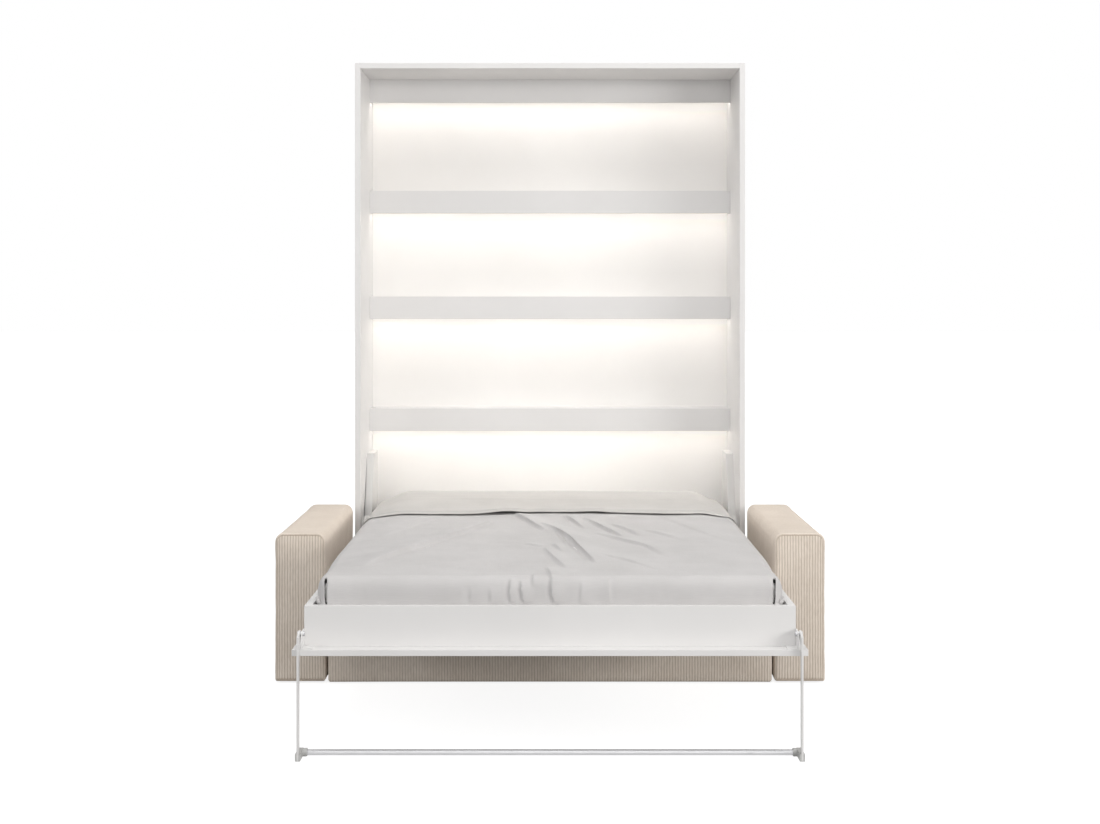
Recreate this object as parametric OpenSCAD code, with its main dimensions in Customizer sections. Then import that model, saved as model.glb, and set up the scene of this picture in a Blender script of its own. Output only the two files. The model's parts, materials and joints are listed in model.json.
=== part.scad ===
// Vertical wall bed for a 140 x 200 mattress, lowered over a low sofa with two armrests.
// X runs to the right, Y towards the wall, Z up, in millimetres. The origin is on the floor,
// under the middle of the whole object. In the sizes below "out" is the distance in front of
// the cabinet's front plane, so it is negative inside the cabinet.

/* [Mattress and bedding] */
// Width of the mattress
mattress_w = 1400; // [1200:10:1600]
// Length of the mattress
mattress_l = 2000; // [1900:10:2100]
// Thickness of the mattress
mattress_t = 180; // [150:1:190]
// Radius of the mattress corners seen from above
mattress_corner_r = 50; // [30:1:70]
// Radius of the mattress's upper edge
mattress_edge_r = 28; // [22:1:29]
// Thickness of the duvet on top of the mattress
duvet_t = 6; // [4:0.5:10]
// How far the duvet swells past the sides of the mattress
duvet_bulge = 24.5; // [16:0.5:26]
// How deep the duvet is tucked in below the rim of the bed box
duvet_tuck = 13; // [6:1:30]
// Thickness of the turned-down band on top of the duvet
fold_t = 9; // [5:0.5:14]
// Length of the turned-down band
fold_l = 503; // [300:1:700]
// Bare mattress between the head of the mattress and the turned-down band
bare_head = 121; // [40:1:200]
// Height of the creases that run across the duvet
crease_h = 5; // [0:0.5:8]

/* [Bed box and front panel] */
// Height of the lowered bed's underside above the floor
bed_h = 306; // [300:1:360]
// Thickness of the front panel, which is the underside of the lowered bed
facade_t = 18; // [16:1:25]
// How far the front panel reaches past the foot of the bed box
facade_lip = 50; // [46:1:80]
// How far the front panel reaches behind the bed's pivot
facade_tail = 307; // [280:1:315]
// Gap between the front panel and each side of the cabinet
facade_gap = 3; // [2:0.5:5]
// Height of the boards of the bed box
box_h = 121; // [115:1:160]
// Thickness of the boards of the bed box
board_t = 22; // [18:1:28]
// How far the bed box reaches behind the bed's pivot
box_tail = 262; // [230:1:290]
// Gap between the mattress and each side board
side_gap = 13.5; // [10:0.5:25]
// Gap between the mattress and the foot board, where the duvet is tucked in
foot_gap = 9; // [8:0.5:20]
// Gap between the mattress and the head board
head_gap = 2; // [1:0.5:10]
// Height of the ledgers that carry the slats
ledger_h = 8; // [6:1:20]
// Width of the ledgers that carry the slats
ledger_w = 30; // [20:1:50]
// Thickness of a slat
slat_t = 10; // [8:1:16]
// Width of a slat
slat_w = 70; // [50:1:90]
// Number of slats
slat_count = 14; // [10:1:18]

/* [Cabinet] */
// Depth of the cabinet
cabinet_depth = 470; // [462:1:520]
// Thickness of the sides and the top
panel_t = 22; // [18:1:28]
// Thickness of the back panel
back_t = 16; // [8:1:18]
// Gap between the closed front panel's end and the top
top_gap = 26; // [24:1:40]
// Height of the plinth board's upper edge
plinth_h = 100; // [80:1:105]
// Thickness of the plinth boards, rail fronts and shelves
thin_board_t = 18; // [16:1:22]
// Depth of the space between the rail fronts and the back panel
rail_depth = 100; // [96:1:111]
// Height of each rail front
rail_h = 97; // [60:1:120]
// Height of the second rail's upper edge
rail_2_top = 1826; // [1790:1:1860]
// Height of the third rail's upper edge
rail_3_top = 1375; // [1340:1:1410]
// Height of the fourth rail's upper edge
rail_4_top = 898; // [870:1:930]
// Height of the gliders under the cabinet and the sofa
glide_h = 4; // [3:1:12]

/* [Light strips] */
// Width of the light strip's profile
strip_w = 16; // [12:1:24]
// Height of the light strip's profile
strip_h = 8; // [6:1:14]
// Height of the profile above the lower edge of its rail
strip_lift = 8; // [2:1:20]
// Wall of the profile
strip_wall = 2; // [1:0.5:3]

/* [Pivot and gas springs] */
// Height of the bed's pivot above its underside
pivot_rise = 123; // [118:1:126]
// Radius of the pivot shaft
shaft_r = 10; // [8:0.5:12]
// Gap between the bed box and the mechanism casing
swing_gap = 2.5; // [2:0.5:6]
// Width of the mechanism casing
casing_w = 30; // [29:1:40]
// Sheet thickness of the casing and of the plate behind it
sheet_t = 2.5; // [1.5:0.5:3]
// Radius from the pivot to the crank pin
crank_r = 80; // [70:1:85]
// Thickness of the crank
crank_t = 5; // [4:0.5:6]
// Radius of the crank pin
crank_pin_r = 4; // [3:0.5:5]
// Distance of the gas spring's upper pin behind the pivot
anchor_back = 200; // [190:1:210]
// Height of the gas spring's upper pin above the pivot
anchor_rise = 230; // [210:1:260]
// Radius of the gas spring's upper pin
anchor_pin_r = 5; // [4:0.5:6]
// Radius of the gas spring's tube
tube_r = 9; // [8:0.5:9]
// Radius of the gas spring's rod
rod_r = 4; // [3:0.5:5]
// Radial clearance of a running fit
run_clear = 0.05; // [0.02:0.01:0.1]

/* [Folding leg] */
// Height of the leg's pivot above the front panel
leg_pivot_rise = 44; // [43:1:50]
// Distance of the leg's pivot behind the end of the front panel
leg_pivot_inset = 20; // [18:1:26]
// Gap between the front panel's end and the leg
leg_gap = 2; // [2:0.5:6]
// Width of the leg's flat bar
leg_w = 20; // [16:1:24]
// Thickness of the leg's flat bar
leg_t = 6; // [4:0.5:8]
// Gap between the bed box and the leg
leg_side_gap = 5.5; // [5:0.5:8]
// Radius of the leg's pivot pin
leg_pin_r = 4; // [3:0.5:5]
// Radius of the crossbar
crossbar_r = 8.5; // [7:0.5:10]
// Height of the crossbar's centre above the floor
crossbar_z = 10; // [10:0.5:14]
// Length of each foot
foot_l = 71; // [60:1:90]
// Height of each foot
foot_h = 22; // [18:1:28]
// Width of each foot
foot_w = 15; // [12:1:20]

/* [Sofa] */
// Depth of the sofa, from the cabinet's front plane
sofa_depth = 799; // [700:1:850]
// Height of the armrests
arm_h = 536.5; // [480:0.5:600]
// Width of an armrest
arm_w = 183.5; // [140:0.5:240]
// Gap between the cabinet's side and the inner face of an armrest
arm_gap = 4.5; // [2:0.5:10]
// Radius of the armrests' upper edges
arm_r = 20; // [12:1:30]
// Radius of the upholstery's lower edges
lower_r = 8; // [5:1:12]
// Height of the sofa's base
base_h = 190; // [150:1:200]
// Thickness of a seat cushion at its crown
cushion_t = 98; // [70:1:100]
// Gap round the seat cushions
cushion_gap = 3; // [2:0.5:8]
// Gap between the sofa's base and an armrest
base_gap = 0.5; // [0.3:0.1:1]

/* [Screws and bolts] */
// Radius of the screws in the boards
screw_r = 3; // [2:0.5:4]
// Length of the screws in the boards
screw_l = 58; // [40:1:70]
// Radius of the screw heads
screw_head_r = 5.5; // [4.5:0.5:7]
// Radius of the holes for the wall screws
wall_hole_r = 4.25; // [3:0.25:6]
// Distance between the two wall brackets
wall_hole_x = 1200; // [800:10:1300]
// Distance between the two holes of a wall bracket
wall_hole_z = 25; // [18:1:40]
// Radius of the bolts that hold the armrests
arm_bolt_r = 4; // [3:0.5:6]

/* [Hidden] */

$fn = 48;
slack = 0.1;
left = -1;
right = 1;

white = "#dddcda";
light_grey = "#c9c8c6";
warm_light = "#fff6e6";
steel = "#b4b6b8";
bedding = "#d6d3cf";
band = "#ece6de";
ticking = "#e6e4e0";
birch = "#d9c29a";
cord_fabric = "#cdbfae";
dark_plastic = "#3c3d3f";

// Places across the width, on the right half
mattress_x = mattress_w / 2;
box_in = mattress_x + side_gap;
box_out = box_in + board_t;
casing_in = box_out + swing_gap;
cabinet_in = casing_in + casing_w;
cabinet_out = cabinet_in + panel_t;
facade_x = cabinet_in - facade_gap;
leg_in = box_out + leg_side_gap;
leg_out = leg_in + leg_t;
arm_in = cabinet_out + arm_gap;
arm_out = arm_in + arm_w;
base_x = arm_in - base_gap;

// Heights
facade_top = bed_h + facade_t;
box_top = facade_top + box_h;
slat_top = facade_top + ledger_h + slat_t;
mattress_top = slat_top + mattress_t;
pivot_z = bed_h + pivot_rise;
leg_pivot_z = facade_top + leg_pivot_rise;

// Distances out from the cabinet's front plane: the closed front panel is flush with it
pivot_u = -pivot_rise;
facade_back = pivot_u - facade_tail;
box_back = pivot_u - box_tail;
mattress_back = box_back + board_t + head_gap;
mattress_front = mattress_back + mattress_l;
box_inner_front = mattress_front + foot_gap;
box_front_u = box_inner_front + board_t;
facade_front = box_front_u + facade_lip;
leg_pivot_u = facade_front - leg_pivot_inset;
leg_back = facade_front + leg_gap;
leg_front = leg_back + leg_w;
crossbar_u = leg_front - foot_l + crossbar_r + 0.5;
back_u = -(cabinet_depth - back_t);
rail_back_u = back_u + rail_depth;
rail_front_u = rail_back_u + thin_board_t;

// The cabinet's height follows the closed bed
ceiling_z = pivot_z + facade_front - pivot_u + top_gap;
cabinet_h = ceiling_z + panel_t;
rail_tops = [ceiling_z, rail_2_top, rail_3_top, rail_4_top];

// Y of the cabinet's front plane, with the origin midway between leg and wall
front_y = (leg_front - cabinet_depth) / 2;

// A box from ranges of X, distance out and height
module block(x, u, z)
    translate([x[0], front_y - u[1], z[0]])
        cube([x[1] - x[0], u[1] - u[0], z[1] - z[0]]);

// A flat shape drawn as [out, height], extruded across from one X to another
module across(x)
    translate([x[1], front_y, 0]) rotate([90, 0, -90]) linear_extrude(x[1] - x[0]) children();

// A round bar across the width
module bar(x, u, z, r) across(x) translate([u, z]) circle(r);

// A round bar along the depth
module bar_out(u, x, z, r)
    translate([x, front_y - u[0], z]) rotate([90, 0, 0]) cylinder(r = r, h = u[1] - u[0]);

// What is modelled on the right, mirrored for the left
module on(side)
    if (side == right) children(); else mirror([1, 0, 0]) children();

module both_sides() for (side = [left, right]) on(side) children();

// Screws through the cabinet's sides into the ends of its boards, as [out, height]
screw_sites = concat(
    [for (u = [-60, -cabinet_depth / 2, 60 - cabinet_depth]) [u, ceiling_z + panel_t / 2]],
    [[-thin_board_t / 2, (glide_h + plinth_h) / 2],
     [back_u + thin_board_t / 2, (glide_h + plinth_h) / 2]],
    [for (k = [1:3]) [(rail_back_u + back_u) / 2, rail_tops[k] - thin_board_t / 2]],
    [for (k = [0:3]) [rail_front_u - thin_board_t / 2, rail_tops[k] - 0.6 * rail_h]]);
screw_head_t = 4;

module side_screws(grow)
    both_sides() for (s = screw_sites) {
        bar([cabinet_out - screw_l - grow, cabinet_out - screw_head_t], s[0], s[1],
            screw_r + grow);
        bar([cabinet_out - screw_head_t - grow, cabinet_out], s[0], s[1],
            screw_head_r + grow);
    }

// The gas spring's upper pin, as [out, height]
anchor = [pivot_u - anchor_back, pivot_z + anchor_rise];

// Screws that hold the plate of the mechanism on the cabinet's side, as [out, height]
plate_screw_sites = [[anchor[0] - 32, anchor[1] + 41], [anchor[0] + 68, anchor[1] + 41],
    [anchor[0] - 27, anchor[1] - 114], [pivot_u - 142, pivot_z - 29]];
plate_screw_l = 17;

module plate_screws(grow)
    for (s = plate_screw_sites) {
        bar([cabinet_in - sheet_t - 3, cabinet_in - sheet_t], s[0], s[1], screw_head_r + grow);
        bar([cabinet_in - sheet_t - grow, cabinet_in + plate_screw_l + grow], s[0], s[1],
            screw_r + grow);
    }

module side_panel(side)
    color(white) difference() {
        on(side) difference() {
            block([cabinet_in, cabinet_out], [-cabinet_depth, 0], [glide_h, cabinet_h]);
            plate_screws(slack);
        }
        side_screws(slack);
    }

module inner_board(u, z)
    color(white) difference() {
        block([-cabinet_in, cabinet_in], u, z);
        side_screws(slack);
    }

module top_panel() inner_board([-cabinet_depth, 0], [ceiling_z, cabinet_h]);

module wall_holes()
    for (x = [-1, 1] * wall_hole_x / 2, k = [0, 1])
        bar_out([-cabinet_depth - 1, back_u + 10], x, wall_hole_top - k * wall_hole_z,
            wall_hole_r);
wall_hole_top = ceiling_z - 20;

module back_panel()
    color(white) difference() {
        block([-cabinet_in, cabinet_in], [-cabinet_depth, back_u], [glide_h, ceiling_z]);
        wall_holes();
    }

sofa_screw_x = [-0.464, -0.214, 0.214, 0.464] * mattress_w;

module sofa_screws(grow)
    for (x = sofa_screw_x) {
        bar_out([-thin_board_t - 3, -thin_board_t], x, sofa_screw_z, screw_head_r + grow);
        bar_out([-thin_board_t - grow, 40 + grow], x, sofa_screw_z, screw_r + grow);
    }
sofa_screw_z = 70;

module plinth_board()
    difference() {
        inner_board([-thin_board_t, 0], [glide_h, plinth_h]);
        sofa_screws(slack);
    }

module rear_bottom_rail() inner_board([back_u, back_u + thin_board_t], [glide_h, plinth_h]);

module rail_front(k)
    inner_board([rail_back_u, rail_front_u], [rail_tops[k] - rail_h, rail_tops[k]]);

module shelf(k) inner_board([back_u, rail_back_u], [rail_tops[k] - thin_board_t, rail_tops[k]]);

// The light strips hide behind the rail fronts and shine down along the back panel
module strip_place(k, x, u, z)
    block(x, [rail_back_u + u[0], rail_back_u + u[1]],
        [rail_tops[k] - rail_h + strip_lift + z[0], rail_tops[k] - rail_h + strip_lift + z[1]]);
strip_x = cabinet_in - 1;
diffuser_t = strip_h / 2;

module light_profiles()
    color(steel) for (k = [0:3]) difference() {
        strip_place(k, [-strip_x, strip_x], [-strip_w, 0], [0, strip_h]);
        strip_place(k, [-strip_x - 1, strip_x + 1], [strip_wall - strip_w, -strip_wall],
            [-1, diffuser_t]);
    }

module light_diffusers()
    color(warm_light) for (k = [0:3])
        strip_place(k, [-strip_x, strip_x], [strip_wall - strip_w + slack, -strip_wall - slack],
            [0, diffuser_t]);

driver_size = [170, 42, 26];
driver_x = 240;

module light_driver()
    color(white) block([driver_x, driver_x + driver_size[0]], [back_u + 8, back_u + 8 + driver_size[1]],
        [ceiling_z - driver_size[2], ceiling_z]);

bracket_w = 60;
bracket_h = 62;
bracket_t = 3;

module wall_brackets()
    color(steel) difference() {
        for (x = [-1, 1] * wall_hole_x / 2) {
            block([x - bracket_w / 2, x + bracket_w / 2], [back_u, back_u + bracket_t],
                [ceiling_z - bracket_h, ceiling_z]);
            block([x - bracket_w / 2, x + bracket_w / 2], [back_u, back_u + bracket_h],
                [ceiling_z - bracket_t, ceiling_z]);
        }
        wall_holes();
    }

glide_r = 9;

module cabinet_glides()
    color(dark_plastic) both_sides() for (u = [-40, 40 - cabinet_depth])
        translate([(cabinet_in + cabinet_out) / 2, front_y - u, 0])
            cylinder(r = glide_r, h = glide_h);

module carcass_screws() color(steel) {
    side_screws(0);
    sofa_screws(0);
}

// Gas spring: the crank pin with the bed lowered and closed
pin_open = [pivot_u - crank_r, pivot_z];
pin_closed = [pivot_u, pivot_z - crank_r];
spring_l = norm(pin_open - anchor);
stroke = norm(pin_closed - anchor) - spring_l;
spring_angle = atan2(pin_open[1] - anchor[1], pin_open[0] - anchor[0]);
crank_in = casing_in + sheet_t + 0.5;
spring_x = crank_in + crank_t + 1 + tube_r;
eye_r = 11;
eye_t = 12;

// Outline of the casing, drawn in by an inset. It stays nearer to the pivot than the front
// panel's inner face, so the panel swings past it
casing_low_r = pivot_rise - facade_t - 4;
casing_hub_r = 36;
casing_toe = 14;
casing_top = anchor[1] + 57;
casing_back = anchor[0] - 52;
casing_knee = anchor[1] - 139;

module casing_shape(inset) {
    translate([pivot_u, pivot_z]) circle(casing_hub_r - inset);
    polygon([
        [casing_back + inset, casing_top - inset],
        [casing_back + inset, casing_knee],
        [pivot_u - 105 + inset / 2, pivot_z - casing_low_r + inset],
        [pivot_u + casing_toe - inset, pivot_z - casing_low_r + inset],
        [pivot_u + casing_hub_r - inset, pivot_z - 10],
        [pivot_u + 10, pivot_z + casing_hub_r - inset - 2],
        [pivot_u - 19 - inset, pivot_z + 41],
        [pivot_u - 112 - inset, casing_top - inset]]);
}

module mechanism_casing(side)
    color(white) on(side) difference() {
        across([casing_in, cabinet_in]) casing_shape(0);
        across([casing_in + sheet_t, cabinet_in + 1]) casing_shape(sheet_t);
        bar([casing_in - 1, casing_in + sheet_t + 1], pivot_u, pivot_z, shaft_r + 2);
    }

bearing_r = shaft_r + 7;
bearing_in = cabinet_in - 16;
shaft_end = cabinet_in - 6;

module mechanism_plate(side)
    color(steel) on(side) difference() {
        union() {
            across([cabinet_in - sheet_t, cabinet_in]) casing_shape(sheet_t + 0.8);
            bar([bearing_in, cabinet_in - sheet_t], pivot_u, pivot_z, bearing_r);
            bar([spring_x - eye_t / 2 - 2, cabinet_in - sheet_t], anchor[0], anchor[1],
                anchor_pin_r);
        }
        bar([bearing_in - 1, shaft_end + 1], pivot_u, pivot_z, shaft_r + run_clear);
        plate_screws(slack);
    }

module mechanism_screws() color(steel) both_sides() plate_screws(0);

// The bed: front panel, box, slats and bedding
module facade_panel()
    color(white) block([-facade_x, facade_x], [facade_back, facade_front], [bed_h, facade_top]);

pivot_plate = [pivot_u - 60, pivot_u + 60];
pivot_plate_z = [pivot_z - 82, pivot_z + 12];
pivot_plate_t = 4;
pivot_screw_sites = [for (u = [-48, 48], z = [-70, -10]) [pivot_u + u, pivot_z + z]];

module plate_wood_screws(grow)
    for (s = pivot_screw_sites) {
        bar([box_in, box_in + 2], s[0], s[1], 4.5 + grow);
        bar([box_in + 2 - grow, box_out - 4 + grow], s[0], s[1], 2.5 + grow);
    }

dowel_r = 4;
dowel_l = 30;
dowel_heights = [facade_top + 30, box_top - 30];

module dowels(grow)
    both_sides() for (z = dowel_heights) {
        bar_out([box_inner_front - dowel_l / 2 - grow, box_inner_front + dowel_l / 2 + grow],
            box_in + board_t / 2, z, dowel_r + grow);
        bar([box_in - dowel_l / 2 - grow, box_in + dowel_l / 2 + grow],
            box_back + board_t / 2, z, dowel_r + grow);
    }

module box_side(side)
    color(white) difference() {
        on(side) difference() {
            block([box_in, box_out], [box_back, box_inner_front], [facade_top, box_top]);
            block([box_in - 1, box_in + pivot_plate_t], pivot_plate, pivot_plate_z);
            bar([box_in, box_out + 1], pivot_u, pivot_z, shaft_r + slack);
            plate_wood_screws(slack);
        }
        dowels(slack);
    }

module box_front()
    color(white) difference() {
        block([-box_out, box_out], [box_inner_front, box_front_u], [facade_top, box_top]);
        dowels(slack);
    }

module box_head()
    color(white) difference() {
        block([-box_in, box_in], [box_back, box_back + board_t], [facade_top, box_top]);
        dowels(slack);
    }

module box_dowels() color(birch) dowels(0);

inner_l = box_inner_front - box_back - board_t;

module slat_ledgers()
    color(birch) for (x = [-box_in, -ledger_w / 2, box_in - ledger_w])
        block([x, x + ledger_w], [box_inner_front - inner_l, box_inner_front],
            [facade_top, facade_top + ledger_h]);

module slats()
    color(birch) for (k = [0:slat_count - 1]) {
        middle = box_inner_front - inner_l * (k + 0.5) / slat_count;
        block([2 - box_in, box_in - 2], [middle - slat_w / 2, middle + slat_w / 2],
            [slat_top - slat_t, slat_top]);
    }

// A slab with round corners, as wide as the mattress and a little more
module bed_slab(grow, z) {
    r = mattress_corner_r + grow;
    x = mattress_x + grow - r;
    u = [mattress_back - grow + r, mattress_front + grow - r];
    translate([0, front_y, z[0]]) linear_extrude(z[1] - z[0]) {
        for (sx = [-x, x], su = u) translate([sx, -su]) circle(r);
        translate([-x - r, -u[1]]) square([2 * (x + r), u[1] - u[0]]);
        translate([-x, -u[1] - r]) square([2 * x, u[1] - u[0] + 2 * r]);
    }
}

// The mattress has a round upper edge
module mattress_form(grow)
    hull() {
        bed_slab(grow, [slat_top, mattress_top - mattress_edge_r]);
        bed_slab(grow - 0.3 * mattress_edge_r, [slat_top, mattress_top - 0.3 * mattress_edge_r]);
        bed_slab(grow - mattress_edge_r, [slat_top, mattress_top + grow]);
    }

module mattress() color(ticking) mattress_form(0);

// The duvet: a cloth laid over the mattress. Half its width is a list of [x, drop, lean], flat
// on top, round at the edge, then tucked in behind the rim of the box. The lean is the angle
// from the vertical in which the cloth's thickness is taken
duvet_top = mattress_top + duvet_t;
hem_drop = duvet_top - box_top + duvet_tuck;
edge_drop = duvet_top - box_top - 27;
rim_drop = duvet_top - box_top - 2.5;
edge_r = 40;
foot_edge_r = 34;
corner_r = mattress_corner_r + 8;
duvet_x = mattress_x + duvet_bulge;
flat_steps = 7;
edge_steps = 3;
function edge_arc(end, r) = [for (k = [1:edge_steps]) let (a = 90 * k / edge_steps)
    [end - r + r * sin(a), edge_drop * (1 - cos(a)), a]];
duvet_half = concat(
    [for (k = [0:flat_steps]) [(duvet_x - corner_r) * k / flat_steps, 0, 0]],
    [[duvet_x - edge_r, 0, 0]],
    edge_arc(duvet_x, edge_r),
    [[duvet_x - 1.5, rim_drop - 8.5, 90], [box_in - 0.5, rim_drop, 90],
     [box_in - 1, hem_drop, 90]]);
last = len(duvet_half) - 1;
section = [for (k = [-last:last]) let (h = duvet_half[abs(k)]) [sign(k) * h[0], h[1], h[2]]];

// The same along the bed, as [out, drop, lean], from the band's crease to the foot
band_back = mattress_back + bare_head;
band_front = band_back + fold_l;
foot_x = box_inner_front + 4;
run_steps = 12;
lengthwise = concat(
    [[band_back, 0, 0], [band_back + fold_l / 2, 0, 0]],
    [for (k = [0:run_steps])
        [band_front + (foot_x - foot_edge_r - band_front) * k / run_steps, 0, 0]],
    edge_arc(foot_x, foot_edge_r),
    [[foot_x - 1, rim_drop - 8.5, 90], [box_inner_front - 0.8, rim_drop, 90],
     [box_inner_front - 1.3, hem_drop, 90]]);

function ease(t) = let (c = min(1, max(0, t))) c * c * (3 - 2 * c);

// Creases as [start, end, half width, height], each point as [x, out]
creases = [
    [[-115, band_front + 20], [142, 1436], 55, 1],
    [[-60, band_front + 40], [300, 1180], 60, 0.8],
    [[-255, 606], [-570, 1379], 50, 0.8],
    [[200, band_front + 30], [430, 900], 60, 0.6],
    [[20, 900], [-40, 1560], 50, 0.7]];

function from_line(p, a, b) = let (t = min(1, max(0, (p - a) * (b - a) / ((b - a) * (b - a)))))
    norm(p - a - t * (b - a));
function ridge(p, c, k = 0) = k == len(c) ? 0 :
    c[k][3] * exp(-pow(from_line(p, c[k][0], c[k][1]) / c[k][2], 2)) + ridge(p, c, k + 1);
function crease(p) = crease_h * ridge(p, creases) * ease((p[1] - band_front) / 120);

// The duvet draws in towards the foot, where it is tucked in at the corners
narrow_by = 8;
narrow_start = mattress_front - 540;
narrow_run = 500;
function narrowing(u) = 1 - narrow_by / duvet_x * ease((u - narrow_start) / narrow_run);

// A square corner bent into a round one
function corner_bend(a, b) = a * sqrt(1 - b * b / 2);

// A point of the duvet's outer face (inner = 0) or of its inner face (inner = 1)
inset_top = duvet_t - 0.3;
inset_side = foot_gap - 1.5;
function duvet_point(s, l, inner) =
    let (
        side = inner * inset_side,
        drop = min(hem_drop, pow(pow(s[1], 6) + pow(l[1], 6), 1 / 6)),
        half = duvet_x * narrowing(l[0]) - side,
        foot = foot_x - side,
        r = corner_r - side,
        wide = abs(s[1] >= rim_drop ? s[0] : s[0] * narrowing(l[0])),
        x = wide - side * sin(s[2]),
        u = l[0] - side * sin(l[2]),
        a = max(0, (x - half + r) / r),
        b = max(0, (u - foot + r) / r),
        px = a > 0 ? half - r + r * corner_bend(a, b) : x,
        pu = b > 0 ? foot - r + r * corner_bend(b, a) : u,
        lift = crease([s[0], l[0]]) * max(0, 1 - drop / 30),
        sink = drop >= hem_drop ? 0 : inner * inset_top * min(cos(s[2]), cos(l[2])))
    [sign(s[0]) * px, front_y - pu, duvet_top - drop + lift - sink];

// A closed cloth between an outer and an inner grid of points, stitched along its edges
function grid_faces(rows, cols) = [for (j = [0:rows - 2], i = [0:cols - 2])
    let (a = j * cols + i, b = a + 1, c = a + cols, d = c + 1)
    each [[a, b, d], [a, d, c]]];

module cloth(outer, inner, rows, cols) {
    n = rows * cols;
    faces = concat(
        grid_faces(rows, cols),
        [for (f = grid_faces(rows, cols)) [f[0] + n, f[2] + n, f[1] + n]],
        [for (i = [0:cols - 2]) each [[i + 1, i, i + n], [i + 1, i + n, i + 1 + n]]],
        [for (i = [0:cols - 2]) let (a = n - cols + i)
            each [[a, a + 1, a + 1 + n], [a, a + 1 + n, a + n]]],
        [for (j = [0:rows - 2]) let (a = j * cols, b = a + cols)
            each [[a, b, b + n], [a, b + n, a + n]]],
        [for (j = [0:rows - 2]) let (a = j * cols + cols - 1, b = a + cols)
            each [[b, a, a + n], [b, a + n, b + n]]]);
    polyhedron(concat(outer, inner), faces);
}

module duvet()
    color(bedding) cloth(
        [for (l = lengthwise, s = section) duvet_point(s, l, 0)],
        [for (l = lengthwise, s = section) duvet_point(s, l, 1)],
        len(lengthwise), len(section));

// The turned-down band lies on the duvet and ends in a slightly wavy free edge. Its rows are
// [share of its length, share of its thickness]
band_rows = [[0, 0.2], [0.012, 0.85], [0.12, 1], [0.25, 0.95], [0.4, 1], [0.55, 0.93],
    [0.7, 1], [0.85, 0.95], [0.985, 0.9], [1, 0.25]];
band_cols = [for (s = section) if (s[1] < rim_drop - 2.5) s];
band_side = 3;

function wave(x) = 7 * sin(x * 0.45 + 40) + 4 * sin(x * 1.1);
function band_point(s, row, lift, out) =
    let (u = band_back - 4 + (fold_l + 4 + wave(s[0])) * row[0])
    [s[0] * (duvet_x + out) / duvet_x, front_y - u,
     duvet_top - s[1] + lift * (1 - s[1] / hem_drop)];

module duvet_fold()
    color(band) cloth(
        [for (r = band_rows, s = band_cols)
            band_point(s, r, 0.6 + fold_t * r[1], 0.6 + band_side * r[1])],
        [for (r = band_rows, s = band_cols) band_point(s, r, 0.4, 0.4)],
        len(band_rows), len(band_cols));

module pivot_shaft(side)
    color(steel) on(side) difference() {
        union() {
            block([box_in, box_in + pivot_plate_t], pivot_plate, pivot_plate_z);
            bar([box_in + pivot_plate_t, shaft_end], pivot_u, pivot_z, shaft_r);
        }
        plate_wood_screws(slack);
    }

module pivot_screws() color(steel) both_sides() plate_wood_screws(0);

crank_hub_r = shaft_r + 9;
crank_end_r = crank_pin_r + 7;

module crank(side)
    color(steel) on(side) {
        difference() {
            across([crank_in, crank_in + crank_t]) {
                translate([pivot_u, pivot_z]) circle(crank_hub_r);
                translate(pin_open) circle(crank_end_r);
                translate([pin_open[0], pivot_z - crank_end_r])
                    square([crank_r, 2 * crank_end_r]);
            }
            bar([crank_in - 1, crank_in + crank_t + 1], pivot_u, pivot_z, shaft_r + 0.02);
        }
        bar([crank_in + crank_t, spring_x - eye_t / 2 - 0.5], pin_open[0], pin_open[1],
            crank_pin_r);
    }

// The gas spring is drawn along its own axis, from the upper pin down
module along_spring(side)
    on(side) translate([spring_x, front_y - anchor[0], anchor[1]])
        rotate([90 - spring_angle, 0, 0]) children();

module eye(z) translate([0, 0, z]) rotate([0, 90, 0]) cylinder(r = eye_r, h = eye_t, center = true);

module eye_bore(z, r)
    translate([0, 0, z]) rotate([0, 90, 0]) cylinder(r = r, h = eye_t + 2, center = true);

gland_l = 12;
tube_end = spring_l - 34;
tube_wall = 2;
piston_l = 10;
rod_overlap = 45;
rod_start = tube_end - rod_overlap - stroke;

module gas_tube(side)
    color(dark_plastic) along_spring(side) difference() {
        union() {
            eye(0);
            translate([0, 0, anchor_pin_r + 3]) cylinder(r = tube_r, h = tube_end - anchor_pin_r - 3);
        }
        eye_bore(0, anchor_pin_r + run_clear);
        translate([0, 0, 20]) cylinder(r = tube_r - tube_wall, h = tube_end - gland_l - 20);
        translate([0, 0, tube_end - gland_l - 1]) cylinder(r = rod_r + run_clear, h = gland_l + 2);
    }

module gas_rod(side)
    color(steel) along_spring(side) difference() {
        union() {
            translate([0, 0, rod_start]) cylinder(r = rod_r, h = spring_l - rod_start - 6);
            translate([0, 0, rod_start]) cylinder(r = tube_r - tube_wall - 0.1, h = piston_l);
            eye(spring_l);
        }
        eye_bore(spring_l, crank_pin_r + slack);
    }

// The folding leg at the foot of the bed
ear_t = 4;
ear_in = leg_in - 3 - ear_t;

module leg_bracket(side)
    color(white) on(side) difference() {
        union() {
            block([ear_in - 30, ear_in + ear_t], [box_front_u + 1, facade_front - 4],
                [facade_top, facade_top + 3]);
            across([ear_in, ear_in + ear_t]) polygon([
                [box_front_u + 1, facade_top], [facade_front - 4, facade_top],
                [facade_front - 6, leg_pivot_z - 4], [leg_pivot_u + 5, leg_pivot_z + 8],
                [box_front_u + 1, leg_pivot_z + 9]]);
        }
        bar([ear_in - 1, leg_in], leg_pivot_u, leg_pivot_z, leg_pin_r + slack);
    }

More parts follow.
